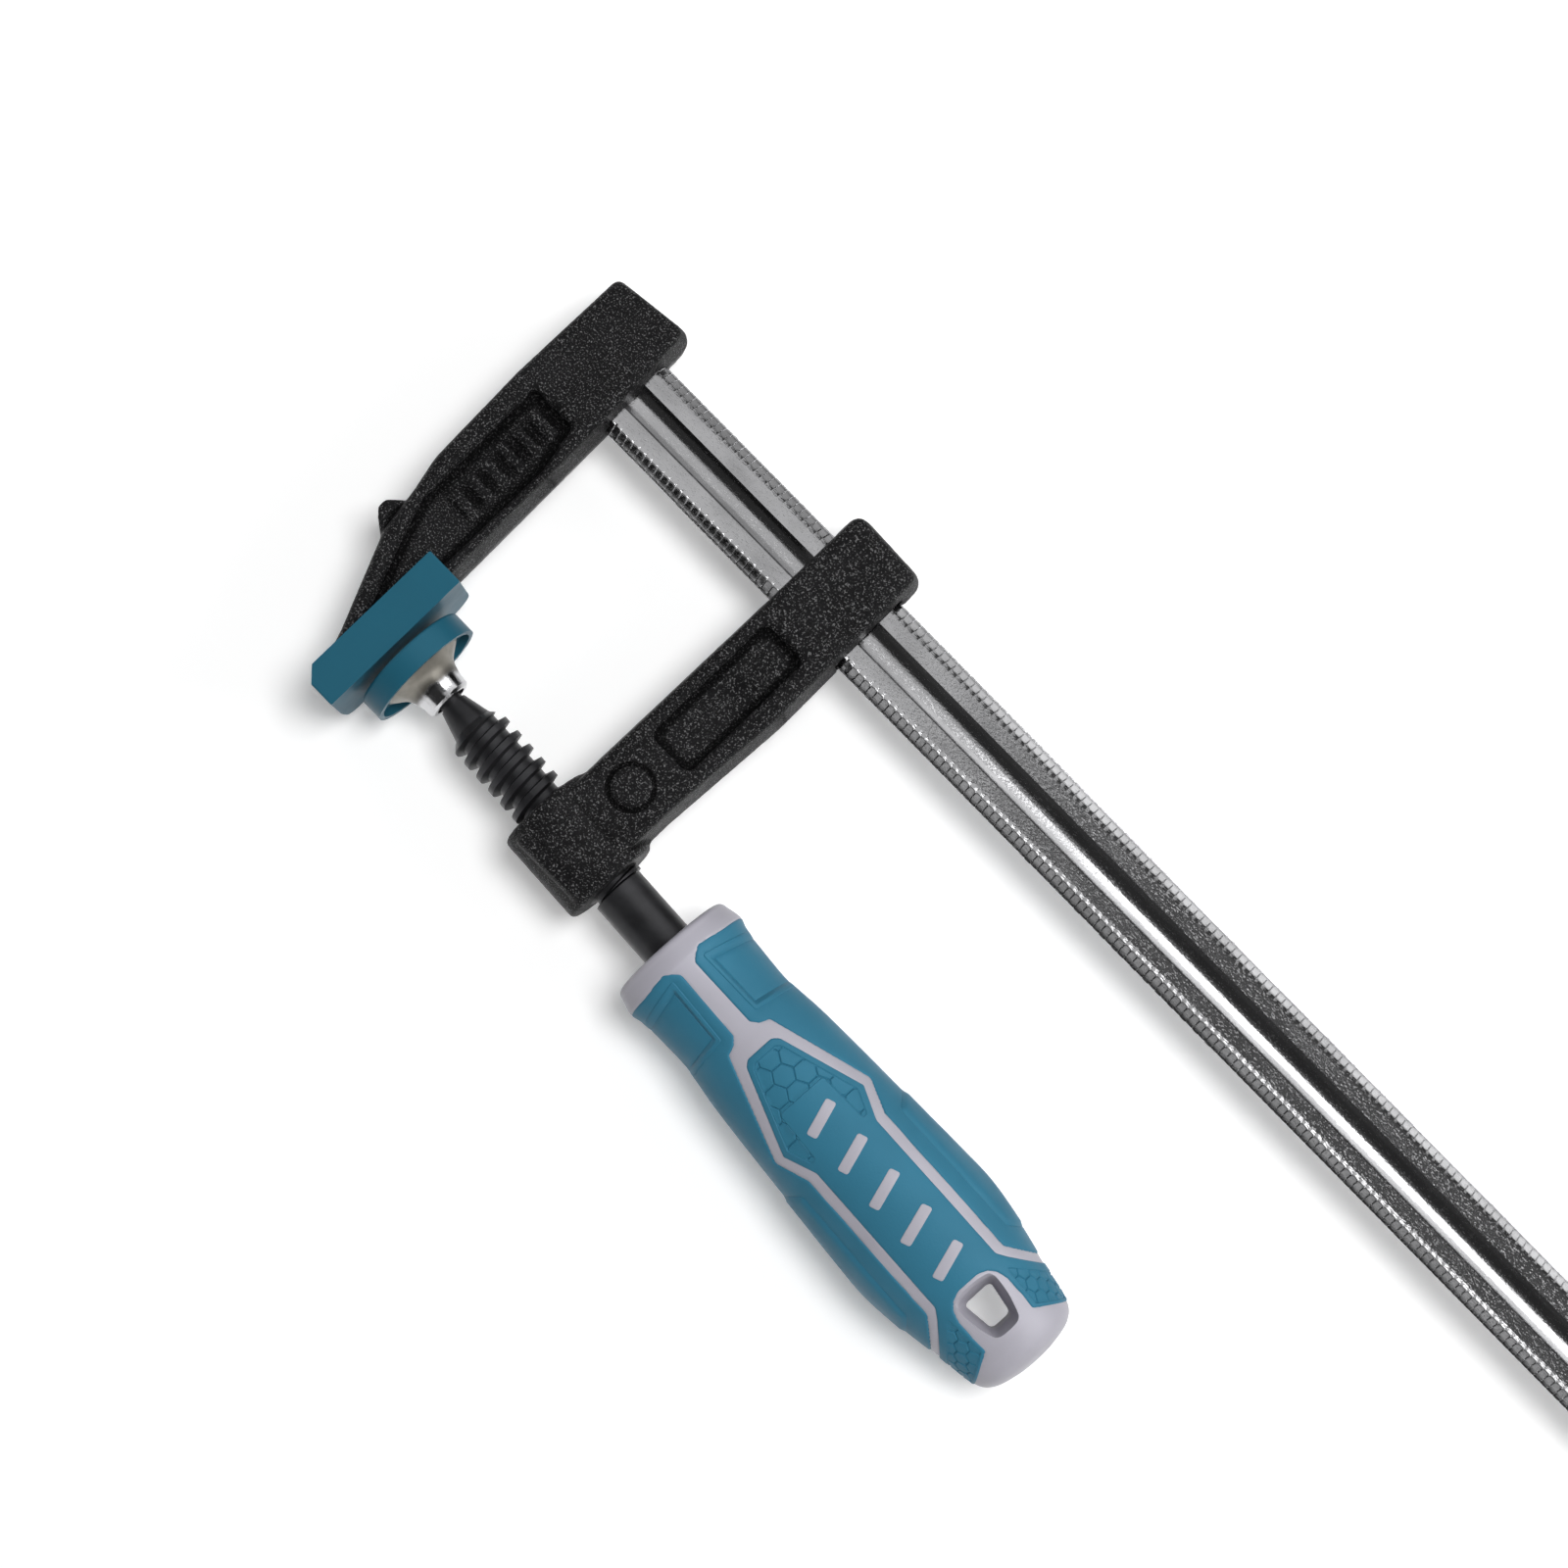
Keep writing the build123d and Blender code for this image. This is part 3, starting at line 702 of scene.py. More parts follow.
def triangulate(outline, lines, spacing):
    """Triangles filling an outline, with edges along the given lines."""
    count = len(outline)
    edges = [(i, (i + 1) % count) for i in range(count)]
    edges += [(count + 2 * i, count + 2 * i + 1) for i in range(len(lines))]
    fixed = np.vstack([outline, lines.reshape(-1, 2)])
    low, high = outline.min(0), outline.max(0)
    rows = np.arange(low[1], high[1], spacing * 0.87)
    grid = []
    for index, row in enumerate(rows):
        shift = spacing / 2 * (index % 2)
        grid += [(x, row) for x in np.arange(low[0] + shift, high[0], spacing)]
    grid = np.array(grid)
    grid = grid[inside(outline, grid)]
    tree = kdtree.KDTree(len(fixed))
    for index, point in enumerate(fixed):
        tree.insert((*point, 0.0), index)
    tree.balance()
    away = np.array([tree.find((*point, 0.0))[2] for point in grid])
    grid = grid[away > spacing * 0.45]
    points = [Vector(p) for p in np.vstack([fixed, grid])]
    made = geometry.delaunay_2d_cdt(points, edges, [], 0, 1e-4, False)
    corners = np.array([tuple(v) for v in made[0]])
    faces = np.array([f for f in made[2] if len(f) == 3])
    middle = corners[faces].mean(1)
    faces = faces[inside(outline, middle)]
    a, b, c = (corners[faces[:, k]] for k in range(3))
    turn = (b[:, 0] - a[:, 0]) * (c[:, 1] - a[:, 1]) - (b[:, 1] - a[:, 1]) * (c[:, 0] - a[:, 0])
    faces = faces[np.abs(turn) > 1e-7]
    turn = turn[np.abs(turn) > 1e-7]
    faces[turn < 0] = faces[turn < 0][:, ::-1]
    used, index = np.unique(faces, return_inverse=True)
    return corners[used], index.reshape(-1, 3)


def shell_patch(name, flat, faces, lift, sink, material):
    """A closed shell on the handle, above and below: its lifted top, sunk underside and wall."""
    count = len(flat)
    top = on_handle(flat, lift)
    under = on_handle(flat, np.full(count, -sink))
    sides = np.sort(np.vstack([faces[:, [0, 1]], faces[:, [1, 2]], faces[:, [2, 0]]]), axis=1)
    keys, uses = np.unique(sides, axis=0, return_counts=True)
    rim = {tuple(k) for k in keys[uses == 1]}
    seam = np.abs(np.abs(flat[:, 1]) - SEAM) < 1e-3
    polygons = [tuple(f) for f in faces] + [tuple(f[::-1] + count) for f in faces]
    for face in faces:
        for a, b in ((face[0], face[1]), (face[1], face[2]), (face[2], face[0])):
            if (min(a, b), max(a, b)) in rim and not (seam[a] and seam[b]):
                polygons.append((a, a + count, b + count, b))
    points = np.vstack([top, under])
    mirrored = points.copy()
    mirrored[:, 2] = 2 * MID_HEIGHT - mirrored[:, 2]
    polygons += [tuple(i + len(points) for i in reversed(p)) for p in polygons]
    piece = mesh_object(name, np.vstack([points, mirrored]), polygons, material)
    with opened(piece.data) as work:
        bmesh.ops.remove_doubles(work, verts=work.verts, dist=2e-6)
        bmesh.ops.recalc_face_normals(work, faces=work.faces)
    smooth_but_creases(piece.data, 32.0)
    return piece


def soft_edge(depth, radius):
    """Drop of a rounded edge, by distance from the outline."""
    inner = np.clip(radius - depth, 0, radius)
    return -(radius - np.sqrt(radius ** 2 - inner ** 2))


def edge_rings(region, radius):
    """Lines that carry a rounded edge."""
    return np.vstack([region.ring(radius * share) for share in (0.08, 0.3, 0.62, 1.0)])


def crease(depth, place, half_width, fall):
    """A fine groove that follows an outline at a distance inside it."""
    return -fall * np.clip(1 - np.abs(depth - place) / half_width, 0, 1)


def both_halves(points):
    """An outline and its mirror image across the handle's axis, as one closed outline."""
    return points + [(h, -t) for h, t in reversed(points)]


# ---- pieces ----

def rail_tooth(pitch, depth):
    """One pitch of the serrated rail, open at both ends."""
    half, top = (RAIL_HIGH.y - RAIL_LOW.y) / 2 / MM, (RAIL_HIGH.z - RAIL_LOW.z) / 2 / MM
    foot, head = np.array((half, EDGE_HEIGHT)), np.array((half - BEVEL_WIDTH, top))
    slope = head - foot
    length = np.linalg.norm(slope)
    inward = np.array((-slope[1], slope[0])) / length
    back = depth * length / slope[1]                 # how far a facet cuts into the flat
    # place along the pitch, and share of the tooth's depth
    columns = ((0.0, 0.0), (0.08, 0.85), (0.5, 1.0), (0.92, 0.85), (1.0, 0.0))
    points, faces, groove_shade = [], [], []

    def add(x, y, z, shade_share=0.0):
        points.append((x, y, z))
        groove_shade.append(shade_share)
        return len(points) - 1

    def rows(share):
        """The section from the narrow edge to the flat, cut by a share of the tooth's depth."""
        edge = head[0] - back * share
        yield half - 0.12 * (1 - share), foot[1]
        yield half - 0.15 - 0.07 * share, foot[1] + 0.02
        yield foot + slope * 0.12 + inward * depth * share * 0.6
        yield foot + slope * 0.55 + inward * (depth * share - 0.12)
        yield foot + slope * (1 - 0.3 / length) + inward * depth * share
        yield edge + 0.12, top - 0.08
        yield edge + 0.02, top + 0.085 * share
        yield edge - 0.55, top + 0.01 * share
        yield edge - 0.75, top
        yield half - TEETH_WIDTH, top

    path = [(GROOVE_RADIUS * math.sin(a),
             top - GROOVE_DEPTH + GROOVE_RADIUS * (1 - math.cos(a)))
            for a in np.radians(np.linspace(47.5, 3.4, 8))]
    path += [(-y, z) for y, z in reversed(path)]
    feet = {}
    for side_y in (1, -1):
        for side_z in (1, -1):
            grid = [[add(x * pitch, side_y * y, side_z * z) for y, z in rows(share)]
                    for x, share in columns]
            feet[side_y, side_z] = [line[0] for line in grid]
            lines = list(zip(grid, grid[1:]))
            faces += [(a[j], b[j], b[j + 1], a[j + 1]) for a, b in lines for j in range(9)]
            # the inner flat's edge on the −Y side only carries painted shade, a dark line
            inner = [[add(x, side_y * (path[0][0] + out), side_z * top, shade_share) for x in (pitch, 0.0)]
                     for out, shade_share in ((0.2, 0.0), (0.0, float(side_y < 0)))]
            faces.append([line[-1] for line in grid] + inner[0])
            faces.append((inner[0][1], inner[0][0], *inner[1]))
        faces.append(feet[side_y, 1] + feet[side_y, -1][::-1])
    for side_z in (1, -1):
        # the groove's last corner on the −Y side carries the same painted shade
        shade_share = [0.0] * (len(path) - 1) + [1.0]
        starts = [add(0.0, y, side_z * z, d) for (y, z), d in zip(path, shade_share)]
        ends = [add(pitch, y, side_z * z, d) for (y, z), d in zip(path, shade_share)]
        faces += [(starts[i], ends[i], ends[i + 1], starts[i + 1]) for i in range(len(path) - 1)]
    return points, faces, groove_shade


def repeat_tree(material):
    """Geometry nodes that repeat a mesh along X and join the copies."""
    tree, source, sink = node_group(
        "rail_teeth",
        {"Tooth": ("Geometry",), "Count": ("Int",), "Pitch": ("Float",), "Start": ("Vector",)},
        {"Rail": ("Geometry",)}, "GeometryNodeTree")
    given = source.outputs
    step = add_node(tree, "ShaderNodeCombineXYZ", X=given["Pitch"])
    line = add_node(tree, "GeometryNodeMeshLine", Count=given["Count"],
                    Start_Location=given["Start"], Offset=step.outputs[0])
    copies = add_node(tree, "GeometryNodeInstanceOnPoints", Points=line.outputs["Mesh"],
                      Instance=given["Tooth"])
    whole = add_node(tree, "GeometryNodeRealizeInstances", Geometry=copies.outputs["Instances"])
    joined = add_node(tree, "GeometryNodeMergeByDistance", Geometry=whole.outputs["Geometry"],
                      Distance=2e-6)
    painted = add_node(tree, "GeometryNodeSetMaterial", Geometry=joined.outputs["Geometry"],
                       Material=material)
    tree.links.new(painted.outputs["Geometry"], sink.inputs["Rail"])
    return tree


def even_skin(node, cell):
    """A node's surface with corners at an even spacing."""
    mesh = frame["nodes"][node].data.copy()
    with opened(mesh) as work:
        bmesh.ops.remove_doubles(work, verts=work.verts, dist=1e-6)
    return modified(put("rough", mesh), "REMESH", mode="VOXEL", voxel_size=cell)


def away_from_fits(points):
    """0 in the bore and in the rail's slot, which keep their machined shape, and 1 elsewhere."""
    from_axis = points - BALL
    from_axis -= (from_axis @ SCREW)[:, None] * SCREW
    low, high = (np.array(corner) / MM for corner in (RAIL_LOW, RAIL_HIGH))
    slot = np.maximum(low[1:] - points[:, 1:], points[:, 1:] - high[1:]).max(1)
    free = np.minimum(np.linalg.norm(from_axis, axis=1) - BORE_REACH, slot - SLOT_REACH)
    return np.clip(free / FIT_FADE, 0.0, 1.0)


def disc_groove(points, normals):
    """Depth of the groove round the sliding jaw's plain disc, on both faces."""
    low, high = (np.array(corner) / MM for corner in (RAIL_LOW, RAIL_HIGH))
    centre = np.array((low[0] + DISC_PLACE[0], (low[1] + high[1]) / 2 - DISC_PLACE[1]))
    away = np.linalg.norm(points[:, :2] - centre, axis=1) - DISC_RADIUS
    flat = np.clip(np.abs(normals[:, 2]) * 3 - 2, 0, 1)
    depth, half_width = DISC_GROOVE
    return depth * flat * np.exp(-(away / half_width) ** 2)


def cast_copy(node, material, settings):
    """A casting with soft edges and an uneven skin, in place of a node."""
    skin = even_skin(node, settings.casting_cell)
    points = read_mesh(skin.vertices, "co").astype(float) / MM
    edges = read_mesh(skin.edges, "vertices", np.int32, 2)
    weight = away_from_fits(points)
    points = smoothed(points, edges, 0.06 + 0.5 * weight, settings.casting_softness)
    # the outer edges are softer still, while a pocket's floor keeps its ribs
    outer = np.clip((np.abs(points[:, 2] - MID_HEIGHT) - RIB_REACH) / 0.5, 0.0, 1.0)
    points = smoothed(points, edges, 0.5 * weight * outer, settings.casting_softness)
    skin.vertices.foreach_set("co", (points * MM).ravel())
    skin.update()
    normals = read_mesh(skin.vertex_normals, "vector")
    if node == "sliding_jaw":
        points -= normals * disc_groove(points, normals)[:, None]
    # how far each corner lies in a hollow, small or wide, where the coat gets painted shade
    half = np.full(len(points), 0.5)
    near = smoothed(points, edges, half, 15)
    level = smoothed(near, edges, half, 45)
    hollow = ((1.5 * (near - points) + 0.6 * (level - points)) * normals).sum(1)
    skin.attributes.new("hollow", "FLOAT", "POINT").data.foreach_set("value", hollow)
    grain = settings.casting_grain / MM
    lump = np.array([noise.noise(Vector(p / grain)) + 0.5 * noise.noise(Vector(p / grain / 3.1))
                     for p in points])
    lift = lump * weight * settings.casting_relief / MM
    skin.vertices.foreach_set("co", ((points + normals * lift[:, None]) * MM).ravel())
    skin.update()
    piece = finish_mesh(node + "_skin", skin, material, smooth_angle=180.0)
    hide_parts(node)
    return piece


def make_core(material, drop, regions):
    """The hard handle core: a turned body, sunk below the grips, with the flared hanging hole."""
    front, collar, back = (HANDLE_PROFILE[k][0] for k in (0, 1, -1))
    stations = np.concatenate([np.linspace(front, collar, 9), np.linspace(4.35, 84.0, 150),
                               np.linspace(84.3, back, 60)])
    sunk = drop * np.clip((stations - collar) / 0.3, 0, 1) * np.clip((89 - stations) / 3, 0, 1)
    radii = handle_radius(stations) - sunk
    corner = [(MOUTH_RADIUS + 1.35 * math.sin(a), front - front * math.cos(a))
              for a in np.linspace(0, math.pi / 2, 8)[:-1]]
    outline = [(SHANK_RADIUS + 0.9, 0.35), (SHANK_RADIUS + 1.3, 0.0)] + corner
    outline += list(zip(radii, stations))
    ring = np.linspace(0, 2 * math.pi, 200, endpoint=False)
    n = len(ring)
    radius, station = (np.repeat(v, n) for v in np.array(outline[:-1]).T)
    angle = np.tile(ring, len(outline) - 1)
    flat = np.column_stack([station, UNROLL * np.arcsin(np.sin(angle))])
    sink = np.zeros(len(flat))
    for region in regions:
        sink = np.maximum(sink, np.clip((region.depth(flat) - 0.2) / 0.4, 0, 1) * 0.6)
    ends = turned(np.array((0.35, back)), 0.0, 0.0)
    points = np.vstack([turned(station, radius - sink, angle), ends])
    faces = tube_faces(len(outline) - 1, n)
    last = (len(outline) - 2) * n
    for k in range(n):
        faces.append((len(points) - 2, (k + 1) % n, k))
        faces.append((len(points) - 1, last + k, last + (k + 1) % n))
    core = mesh_object("rough", points, faces, material)
    make_outward(core.data)
    cutter = hole_cutter(material)
    cut = modified(core, "BOOLEAN", operation="DIFFERENCE", solver="EXACT", object=cutter)
    bpy.data.objects.remove(cutter)
    return finish_mesh("handle_core_shell", cut, material, smooth_angle=50.0)


def hole_cutter(material):
    """The hanging hole with a rounded flare at both mouths."""
    outline = rounded(HOLE_OUTLINE, 1.1, 0.3)
    away = outline - outline.mean(0)
    away /= np.linalg.norm(away, axis=1)[:, None]
    surface = float(handle_radius(78.5))
    depth = 4.5
    # share of the flare's depth, and how far it is spread
    flare = ((0.0, 1.85), (0.05, 1.6), (0.13, 1.4), (0.22, 1.25), (1.0, 0.0))
    levels = [(-surface - 3, 2.0)] + [(-surface + depth * share, out) for share, out in flare]
    levels += [(-z, spread) for z, spread in reversed(levels)]
    n = len(outline)
    points = np.vstack([in_space(*(outline + away * spread).T, np.full(n, z))
                        for z, spread in levels])
    faces = tube_faces(len(levels), n)
    faces.append(tuple(range(n))[::-1])
    faces.append(tuple(range(len(points) - n, len(points))))
    cutter = mesh_object("hole_cutter", points, faces, material)
    make_outward(cutter.data)
    return cutter


def comb_lines(zone, pitch, half_width):
    """Honeycomb grooves inside a zone: their middle lines and the cells' edges."""
    low, high = zone.outline.min(0) - pitch, zone.outline.max(0) + pitch
    row_step = pitch * math.sqrt(3) / 2
    turns = np.arange(7) * math.pi / 3
    cell = np.column_stack([np.sin(turns), np.cos(turns)]) * pitch / math.sqrt(3)
    shrink = 1 - half_width / (pitch / 2)
    middles, edges = [], []
    for row in range(math.floor(low[1] / row_step), math.ceil(high[1] / row_step) + 1):
        start = math.floor(low[0] / pitch) * pitch + (pitch / 2 if row % 2 else 0)
        for x in np.arange(start, high[0], pitch):
            centre = np.array((x, row * row_step))
            corners = np.stack([cell[:-1], cell[1:]], axis=1)
            middles.append(centre + corners[:3])
            edges.append(centre + corners * shrink)
    return [clipped(np.vstack(runs), zone, 0.2) for runs in (middles, edges)]


def clipped(runs, zone, margin):
    """The stretches of straight runs that lie inside a zone."""
    shares = np.linspace(0, 1, 7)[None, :, None]
    points = runs[:, :1] + (runs[:, 1:] - runs[:, :1]) * shares
    return zone.holds(np.stack([points[:, :-1], points[:, 1:]], axis=2).reshape(-1, 2, 2), margin)


def comb_relief(middles, points, half_width, depth):
    """Depth of the honeycomb's grooves at each point."""
    distance = line_distance(middles[:, 0], middles[:, 1], points)
    return -depth * np.clip(1 - distance / half_width, 0, 1)


def wing_region(side=1):
    """Where one side of the soft grip lies."""
    return Region(flat_outline([(h, t * side) for h, t in WING_OUTLINE], 0.8))


def panel_region():
    """Where the soft centre panel lies."""
    return Region(flat_outline(both_halves(PANEL_OUTLINE + PANEL_TAIL), 0.7))


def grip_top(region, flat, settings):
    """The soft grip's height above its base, with its rounded edge."""
    return settings.grip_proud / MM + soft_edge(region.depth(flat), settings.grip_edge / MM)


def make_wing(name, side, material, settings):
    """One side of the soft grip, with its front recess and its raised thumb plate."""
    region = wing_region()
    recess = Region(flat_outline(FRONT_RECESS, 0.7))
    plate = Region(flat_outline(THUMB_PLATE, 1.5))
    wall, fine = 1.6, 0.14
    lines = [edge_rings(region, settings.grip_edge / MM)]
    for zone, offsets in ((recess, (fine, 2 * fine, wall / 2, wall - fine, wall, wall + fine)),
                          (plate, (0.0, fine, 2 * fine, 0.9, 1.1))):
        lines += [off_seam(region.holds(zone.ring(offset), 0.45)) for offset in offsets]
    flat, faces = triangulate(region.outline, np.vstack(lines), 0.75)
    depth = recess.depth(flat)
    fade = np.clip((SEAM - flat[:, 1]) / 7, 0, 1) ** 0.7
    lift = grip_top(region, flat, settings)
    lift -= (0.1 + 0.45 * fade) * np.clip(2 * depth / wall - 1, 0, 1)
    lift += crease(depth, fine, fine, 0.13) + crease(depth, wall, fine, 0.08)
    depth = plate.depth(flat)
    lift += 0.3 * np.clip((depth - fine) / 0.95, 0, 1) + crease(depth, fine, fine, 0.1)
    if side < 0:
        flat = flat * MIRRORED
        faces = faces[:, ::-1]
    return shell_patch(name, flat, faces, lift - GRIP_BASE, GRIP_SINK, material)


def make_panel(material, settings):
    """The soft centre panel with its honeycomb zones."""
    region = panel_region()
    corner = flat_outline(COMB_CORNER, 0.5)
    zones = [Region(flat_outline(both_halves(COMB_FRONT), 0.5)), Region(corner),
             Region(corner * MIRRORED)]
    half_width, fine = 0.2, 0.13
    lines = [edge_rings(region, settings.grip_edge / MM)]
    grooves = []
    for zone, share in zip(zones, (1.0, 0.72, 0.72)):
        for offset in (0.0, fine, 2 * fine, 3 * fine):
            lines.append(region.holds(zone.ring(offset), 0.42))
        middles, edges = comb_lines(zone, settings.comb_pitch / MM * share, half_width)
        grooves.append(middles)
        lines += [middles, edges]
    lines = off_seam(np.vstack(lines))
    flat, faces = triangulate(region.outline, lines, 0.75)
    lift = grip_top(region, flat, settings)
    for zone in zones:
        depth = zone.depth(flat)
        lift += crease(depth, fine, fine, 0.13) - 0.12 * np.clip((depth - fine) / 0.25, 0, 1)
    lift += comb_relief(np.vstack(grooves), flat, half_width, settings.comb_depth / MM)
    return shell_patch("grip_panel_skin", flat, faces, lift - GRIP_BASE, GRIP_SINK, material)


def make_bars(material, settings):
    """Plain slanted bars set into the centre panel."""
    pieces = []
    half_long, half_wide = BAR_SIZE[1] / 2, BAR_SIZE[0] / 2
    box = [(-half_wide, -half_long), (half_wide, -half_long), (half_wide, half_long),
           (-half_wide, half_long)]
    turn = np.array([[math.cos(BAR_SLANT), math.sin(BAR_SLANT)],
                     [-math.sin(BAR_SLANT), math.cos(BAR_SLANT)]])
    for index in range(BAR_COUNT):
        spot = np.array((BAR_START + index * BAR_SPACING, 0.0))
        region = Region(rounded(np.array(box) @ turn + spot, 0.5, 0.25))
        flat, faces = triangulate(region.outline, edge_rings(region, 0.12), 0.6)
        lift = settings.bar_proud / MM + soft_edge(region.depth(flat), 0.12)
        pieces.append(shell_patch(f"bar_{index}", flat, faces, lift, 0.8, material))
    return join(pieces, "grip_bars")


def join(pieces, name):
    """Joins like pieces into one."""
    work = bmesh.new()
    for piece in pieces:
        work.from_mesh(piece.data)
    mesh = bpy.data.meshes.new(name)
    work.to_mesh(mesh)
    work.free()
    material = pieces[0].data.materials[0]
    for piece in pieces:
        bpy.data.objects.remove(piece)
    return finish_mesh(name, mesh, material)


# ---- stage ----

def direct_ray(tree):
    """1 for what the camera, a gloss or a clear material sees directly, else 0."""
    path = tree.nodes.new("ShaderNodeLightPath")
    seen = add_math(tree, "MAXIMUM", path.outputs["Is Camera Ray"], path.outputs["Is Glossy Ray"])
    return add_math(tree, "MAXIMUM", seen, path.outputs["Is Transmission Ray"])


def glowing(name, colour=(0.0, 0.0, 0.0)):
    """A material without shine whose emission strength is still to be linked."""
    return Finish(name, Base_Color=colour, Specular_IOR_Level=0.0, Emission_Color=(1, 1, 1))


def stage_sheet(name, corners, finish, glow):
    """A flat stage piece with its glow."""
    finish.set(Emission_Strength=glow)
    mesh = bpy.data.meshes.new(name)
    mesh.from_pydata(corners, [], [(0, 1, 2, 3)])
    mesh.materials.append(finish.material)
    sheet = put(name, mesh)
    return sheet


def show_in_gloss_only(piece):
    """Makes a stage piece show in reflections only."""
    for kind in ("camera", "diffuse", "shadow", "transmission"):
        setattr(piece, "visible_" + kind, False)


def make_floor(settings):
    """A pale floor that looks white but keeps the clamp's shadow."""
    finish = glowing("pale_floor", tuple(settings.floor_colour))
    finish.set(Roughness=0.9)
    glow = add_math(finish.tree, "MULTIPLY", direct_ray(finish.tree), FLOOR_GLOW)
    corners = [(x * FLOOR_SIZE, y * FLOOR_SIZE, 0) for x, y in ((-1, -1), (1, -1), (1, 1), (-1, 1))]
    stage_sheet("floor", corners, finish, glow).location.z = -FLOOR_DROP


def add_lamp(name, place, size, power):
    """A square soft lamp that faces the clamp."""
    light = bpy.data.lights.new(name, "AREA")
    light.shape = "SQUARE"
    light.size = size
    light.energy = power
    lamp = put(name, light)
    lamp.location = place
    lamp.visible_glossy = False
    lamp.rotation_mode = "QUATERNION"
    lamp.rotation_quaternion = (-lamp.location).to_track_quat("-Z", "Y")


def make_lamps(settings):
    """A high soft lamp towards the rail and a weak low one at the same side."""
    add_lamp("key", place=(0.14, 0.25, 1.22), size=0.42, power=settings.key_power)
    add_lamp("side", place=(0.75, 0.80, 0.60), size=0.6, power=settings.key_power * 0.35)


def make_ceiling():
    """A studio ceiling that only shiny surfaces show, with a bright strip beyond the rail."""
    finish = glowing("ceiling")
    tree = finish.tree
    x, y, _ = add_node(tree, "ShaderNodeSeparateXYZ", Vector=finish.coords).outputs
    grey = add_math(tree, "MULTIPLY", add_ramp(tree, x, -0.13, -0.06, 0.62, 0.06),
                    add_ramp(tree, y, -0.2, 0.05))
    strip = add_math(tree, "MULTIPLY", add_ramp(tree, x, -0.1, -0.02, 0.0, 3.0),
                     add_ramp(tree, y, 0.32, 0.38))
    glow = add_math(tree, "ADD", 0.035, add_math(tree, "ADD", grey, strip))
    corners = [(x, y, CEILING_HEIGHT) for x, y in ((-1.8, -3.0), (-1.8, 2.0), (1.8, 2.0),
                                                   (1.8, -3.0))]
    show_in_gloss_only(stage_sheet("ceiling", corners, finish, glow))


def make_card(name, y, ends, foot, glow, near=1.0):
    """An upright card that the rail's bevel shows.

    Glow holds its brightness below the foot, above it and at the top, and near the share of it
    that is left beside the fixed jaw.
    """
    finish = glowing(name)
    tree = finish.tree
    start, end = ends
    low, high, top = glow
    x, _, z = add_node(tree, "ShaderNodeSeparateXYZ", Vector=finish.coords).outputs
    glow = add_ramp(tree, z, foot, foot + 0.005, low, add_ramp(tree, z, 0.0132, 0.0142, high, top))
    glow = add_math(tree, "MULTIPLY", glow, add_ramp(tree, x, -0.09, -0.01, near))
    corners = [(start, y, 0), (end, y, 0), (end, y, CARD_HEIGHT), (start, y, CARD_HEIGHT)]
    show_in_gloss_only(stage_sheet(name, corners, finish, glow))


def make_world():
    """Soft even light, white where it is seen directly."""
    world = bpy.data.worlds.new("studio")
    world.use_nodes = True
    tree = world.node_tree
    background = tree.nodes["Background"]
    background.inputs["Color"].default_value = (1, 1, 1, 1)
    seen = add_math(tree, "MULTIPLY", direct_ray(tree), 1.0 - WORLD_LIGHT)
    strength = add_math(tree, "ADD", WORLD_LIGHT, seen)
    tree.links.new(strength, background.inputs["Strength"])
    bpy.context.scene.world = world


def make_camera(settings):
    """Looks nearly straight down, leaning a little towards the rail's free end and the handle."""
    data = bpy.data.cameras.new("camera")
    data.angle = settings.field_of_view
    data.clip_end = 10.0
    camera = put("camera", data)
    along, below = (distance * MM for distance in CAMERA_TARGET)
    target = Vector((RAIL_LOW.x + along, (RAIL_LOW.y + RAIL_HIGH.y) / 2 - below,
                     MID_HEIGHT * MM))
    lean = [math.tan(math.radians(angle)) for angle in CAMERA_LEAN]
    back = Vector((lean[0], -lean[1], 1.0)).normalized()
    right = Vector((math.cos(settings.camera_turn), math.sin(settings.camera_turn), 0.0))
    right = (right - back * right.dot(back)).normalized()
    up = back.cross(right)
    camera.location = target + back * settings.camera_distance
    turn = Matrix((right, up, back)).transposed()
    camera.rotation_mode = "QUATERNION"
    camera.rotation_quaternion = turn.to_quaternion()
    bpy.context.scene.camera = camera


# ---- operators ----

class CLAMP_OT_rail(Operator):
    """Makes the serrated rail and dresses its stop pin"""
    bl_idname = "clamp.rail"
    bl_label = "Rail"

    def execute(self, context):
        settings = context.scene.clamp_metal
        length = RAIL_HIGH.x - RAIL_LOW.x
        count = round(length / settings.tooth_pitch)
        pitch = length / count
        steel = plated_steel(settings)
        points, faces, groove_shade = rail_tooth(pitch / MM, settings.tooth_depth / MM)
        tooth = mesh_object("tooth", points, faces, steel)
        # the tooth carries painted shade along the groove's −Y edge
        tooth.data.attributes.new("groove_shade", "FLOAT", "POINT").data.foreach_set("value", groove_shade)
        middle = ((RAIL_LOW.y + RAIL_HIGH.y) / 2, (RAIL_LOW.z + RAIL_HIGH.z) / 2)
        inputs = {"Count": count, "Pitch": pitch, "Start": (RAIL_LOW.x, *middle)}
        mesh = modified(tooth, "NODES", inputs, node_group=repeat_tree(steel))
        with opened(mesh) as work:
            open_edges = [edge for edge in work.edges if edge.is_boundary]
            bmesh.ops.holes_fill(work, edges=open_edges, sides=0)
            bmesh.ops.recalc_face_normals(work, faces=work.faces)
        rough = finish_mesh("rough", mesh, steel, smooth_angle=38.0)
        # the narrow faces beside a flat take all of the rounding
        rail = put("serrated_rail", modified(rough, "WEIGHTED_NORMAL", keep_sharp=True, weight=90))
        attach(rail, "bar")
        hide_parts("rail")
        dress("rail_stop_pin", pin_steel(settings))
        return {"FINISHED"}


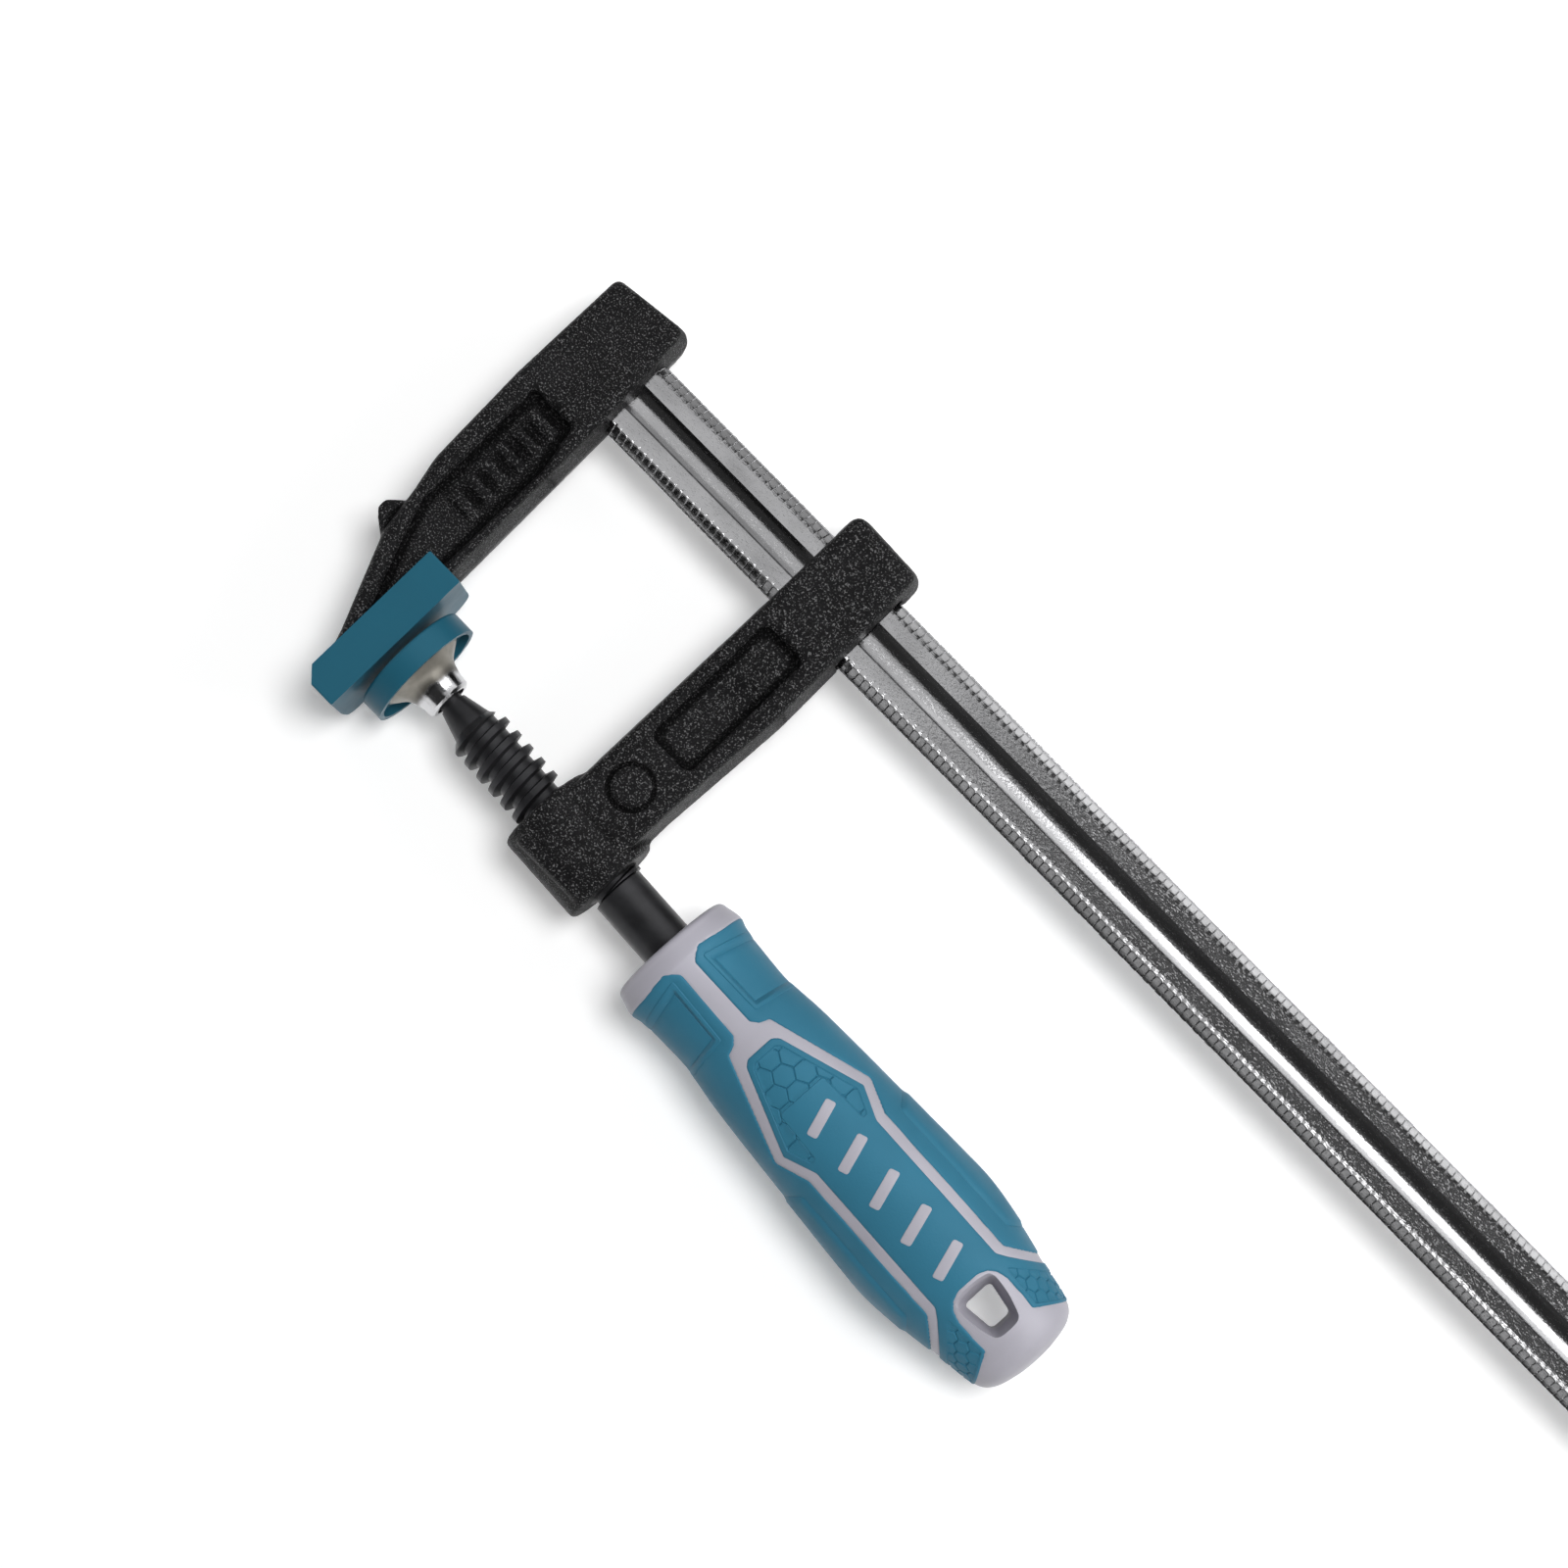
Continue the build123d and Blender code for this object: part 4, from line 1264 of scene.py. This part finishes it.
class CLAMP_OT_castings(Operator):
    """Gives both jaws their cast skin"""
    bl_idname = "clamp.castings"
    bl_label = "Jaws"

    def execute(self, context):
        settings = context.scene.clamp_metal
        coat = sand_coat(settings)
        for node, body in (("fixed_jaw", "bar"), ("sliding_jaw", "sliding_jaw")):
            piece = cast_copy(node, coat, settings)
            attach(piece, body)
        return {"FINISHED"}


class CLAMP_OT_screw(Operator):
    """Dresses the spindle and the pressure plate"""
    bl_idname = "clamp.screw"
    bl_label = "Spindle and pressure plate"

    def execute(self, context):
        settings = context.scene.clamp_metal
        dress("spindle", black_oxide(settings))
        dress("pad_plate", rolled_plate(settings))
        return {"FINISHED"}


class CLAMP_OT_pads(Operator):
    """Dresses the cap, the swivel pad's cover and the bearing liner"""
    bl_idname = "clamp.pads"
    bl_label = "Pads"

    def execute(self, context):
        settings = context.scene.clamp_plastic
        plastic = moulded("pad_plastic", settings.pad_colour, (0.34, 0.46), grain_size=0.0004,
                          strength=0.25, shine=0.2)
        dress("fixed_jaw_cap", plastic)
        dress("pad_cover", plastic)
        dress("ball_seat", moulded("liner_nylon", (0.6, 0.6, 0.57), (0.3, 0.45),
                                   grain_size=0.0004, strength=0.1))
        return {"FINISHED"}


class CLAMP_OT_handle(Operator):
    """Makes the handle's hard core, its soft grip and the plain bars"""
    bl_idname = "clamp.handle"
    bl_label = "Handle"

    def execute(self, context):
        settings = context.scene.clamp_plastic
        hard = moulded("handle_plastic", settings.core_colour, (0.36, 0.48), grain_size=0.0005,
                       strength=0.25)
        soft = moulded("grip_rubber", settings.grip_colour, (0.42, 0.56), grain_size=0.0004,
                       strength=0.5, shine=0.15)
        made = [
            (make_core(hard, settings.grip_proud / MM,
                       [wing_region(), wing_region(-1), panel_region()]),
             "handle_core", "handle_plastic"),
            (make_wing("grip_right_skin", 1, soft, settings), "grip_wing_right", "grip_rubber"),
            (make_wing("grip_left_skin", -1, soft, settings), "grip_wing_left", "grip_rubber"),
            (make_panel(soft, settings), "grip_panel", "grip_rubber"),
            (make_bars(hard, settings), None, "handle_plastic"),
        ]
        for piece, node, slot in made:
            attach(piece, "spindle")
            if node:
                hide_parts(node)
        return {"FINISHED"}


class CLAMP_OT_stage(Operator):
    """Makes the floor, the lamps and the camera"""
    bl_idname = "clamp.stage"
    bl_label = "Stage"

    def execute(self, context):
        settings = context.scene.clamp_stage
        make_floor(settings)
        make_lamps(settings)
        make_ceiling()
        before, behind = RAIL_LOW.y - CARD_GAP, RAIL_HIGH.y + CARD_GAP
        make_card("bevel_card", before, (-0.078, 0.13), foot=0.0075, glow=(0.03, 0.5, 0.05))
        make_card("jaw_card", before, (-0.125, -0.078), foot=0.0065, glow=(0.6, 0.01, 0.01))
        make_card("edge_card", behind, (-0.13, 0.13), foot=0.003, glow=(0.1, 1.15, 1.15),
                  near=0.35)
        make_world()
        make_camera(settings)
        return {"FINISHED"}


class CLAMP_PT_panel(Panel):
    """The clamp's pieces and their settings"""
    bl_idname = "CLAMP_PT_panel"
    bl_label = "F clamp"
    bl_space_type = "VIEW_3D"
    bl_region_type = "UI"
    bl_category = "F clamp"

    def draw(self, context):
        layout = self.layout
        for operator in OPERATORS:
            layout.operator(operator.bl_idname)
        for group in ("clamp_metal", "clamp_plastic", "clamp_stage"):
            settings = getattr(context.scene, group)
            box = layout.box()
            for name in settings.__annotations__:
                box.prop(settings, name)


SETTINGS = {"clamp_metal": ClampMetalSettings, "clamp_plastic": ClampPlasticSettings,
            "clamp_stage": ClampStageSettings}
OPERATORS = (CLAMP_OT_rail, CLAMP_OT_castings, CLAMP_OT_screw, CLAMP_OT_pads, CLAMP_OT_handle,
             CLAMP_OT_stage)


def register():
    for cls in (*SETTINGS.values(), *OPERATORS, CLAMP_PT_panel):
        bpy.utils.register_class(cls)
    for name, cls in SETTINGS.items():
        setattr(bpy.types.Scene, name, PointerProperty(type=cls))


def unregister():
    for name in SETTINGS:
        delattr(bpy.types.Scene, name)
    for cls in reversed((*SETTINGS.values(), *OPERATORS, CLAMP_PT_panel)):
        bpy.utils.unregister_class(cls)


def main():
    register()
    bpy.ops.clamp.rail()
    bpy.ops.clamp.castings()
    bpy.ops.clamp.screw()
    bpy.ops.clamp.pads()
    bpy.ops.clamp.handle()
    bpy.ops.clamp.stage()
    bpy.context.scene.view_settings.view_transform = "Standard"


if __name__ == "__main__":
    main()
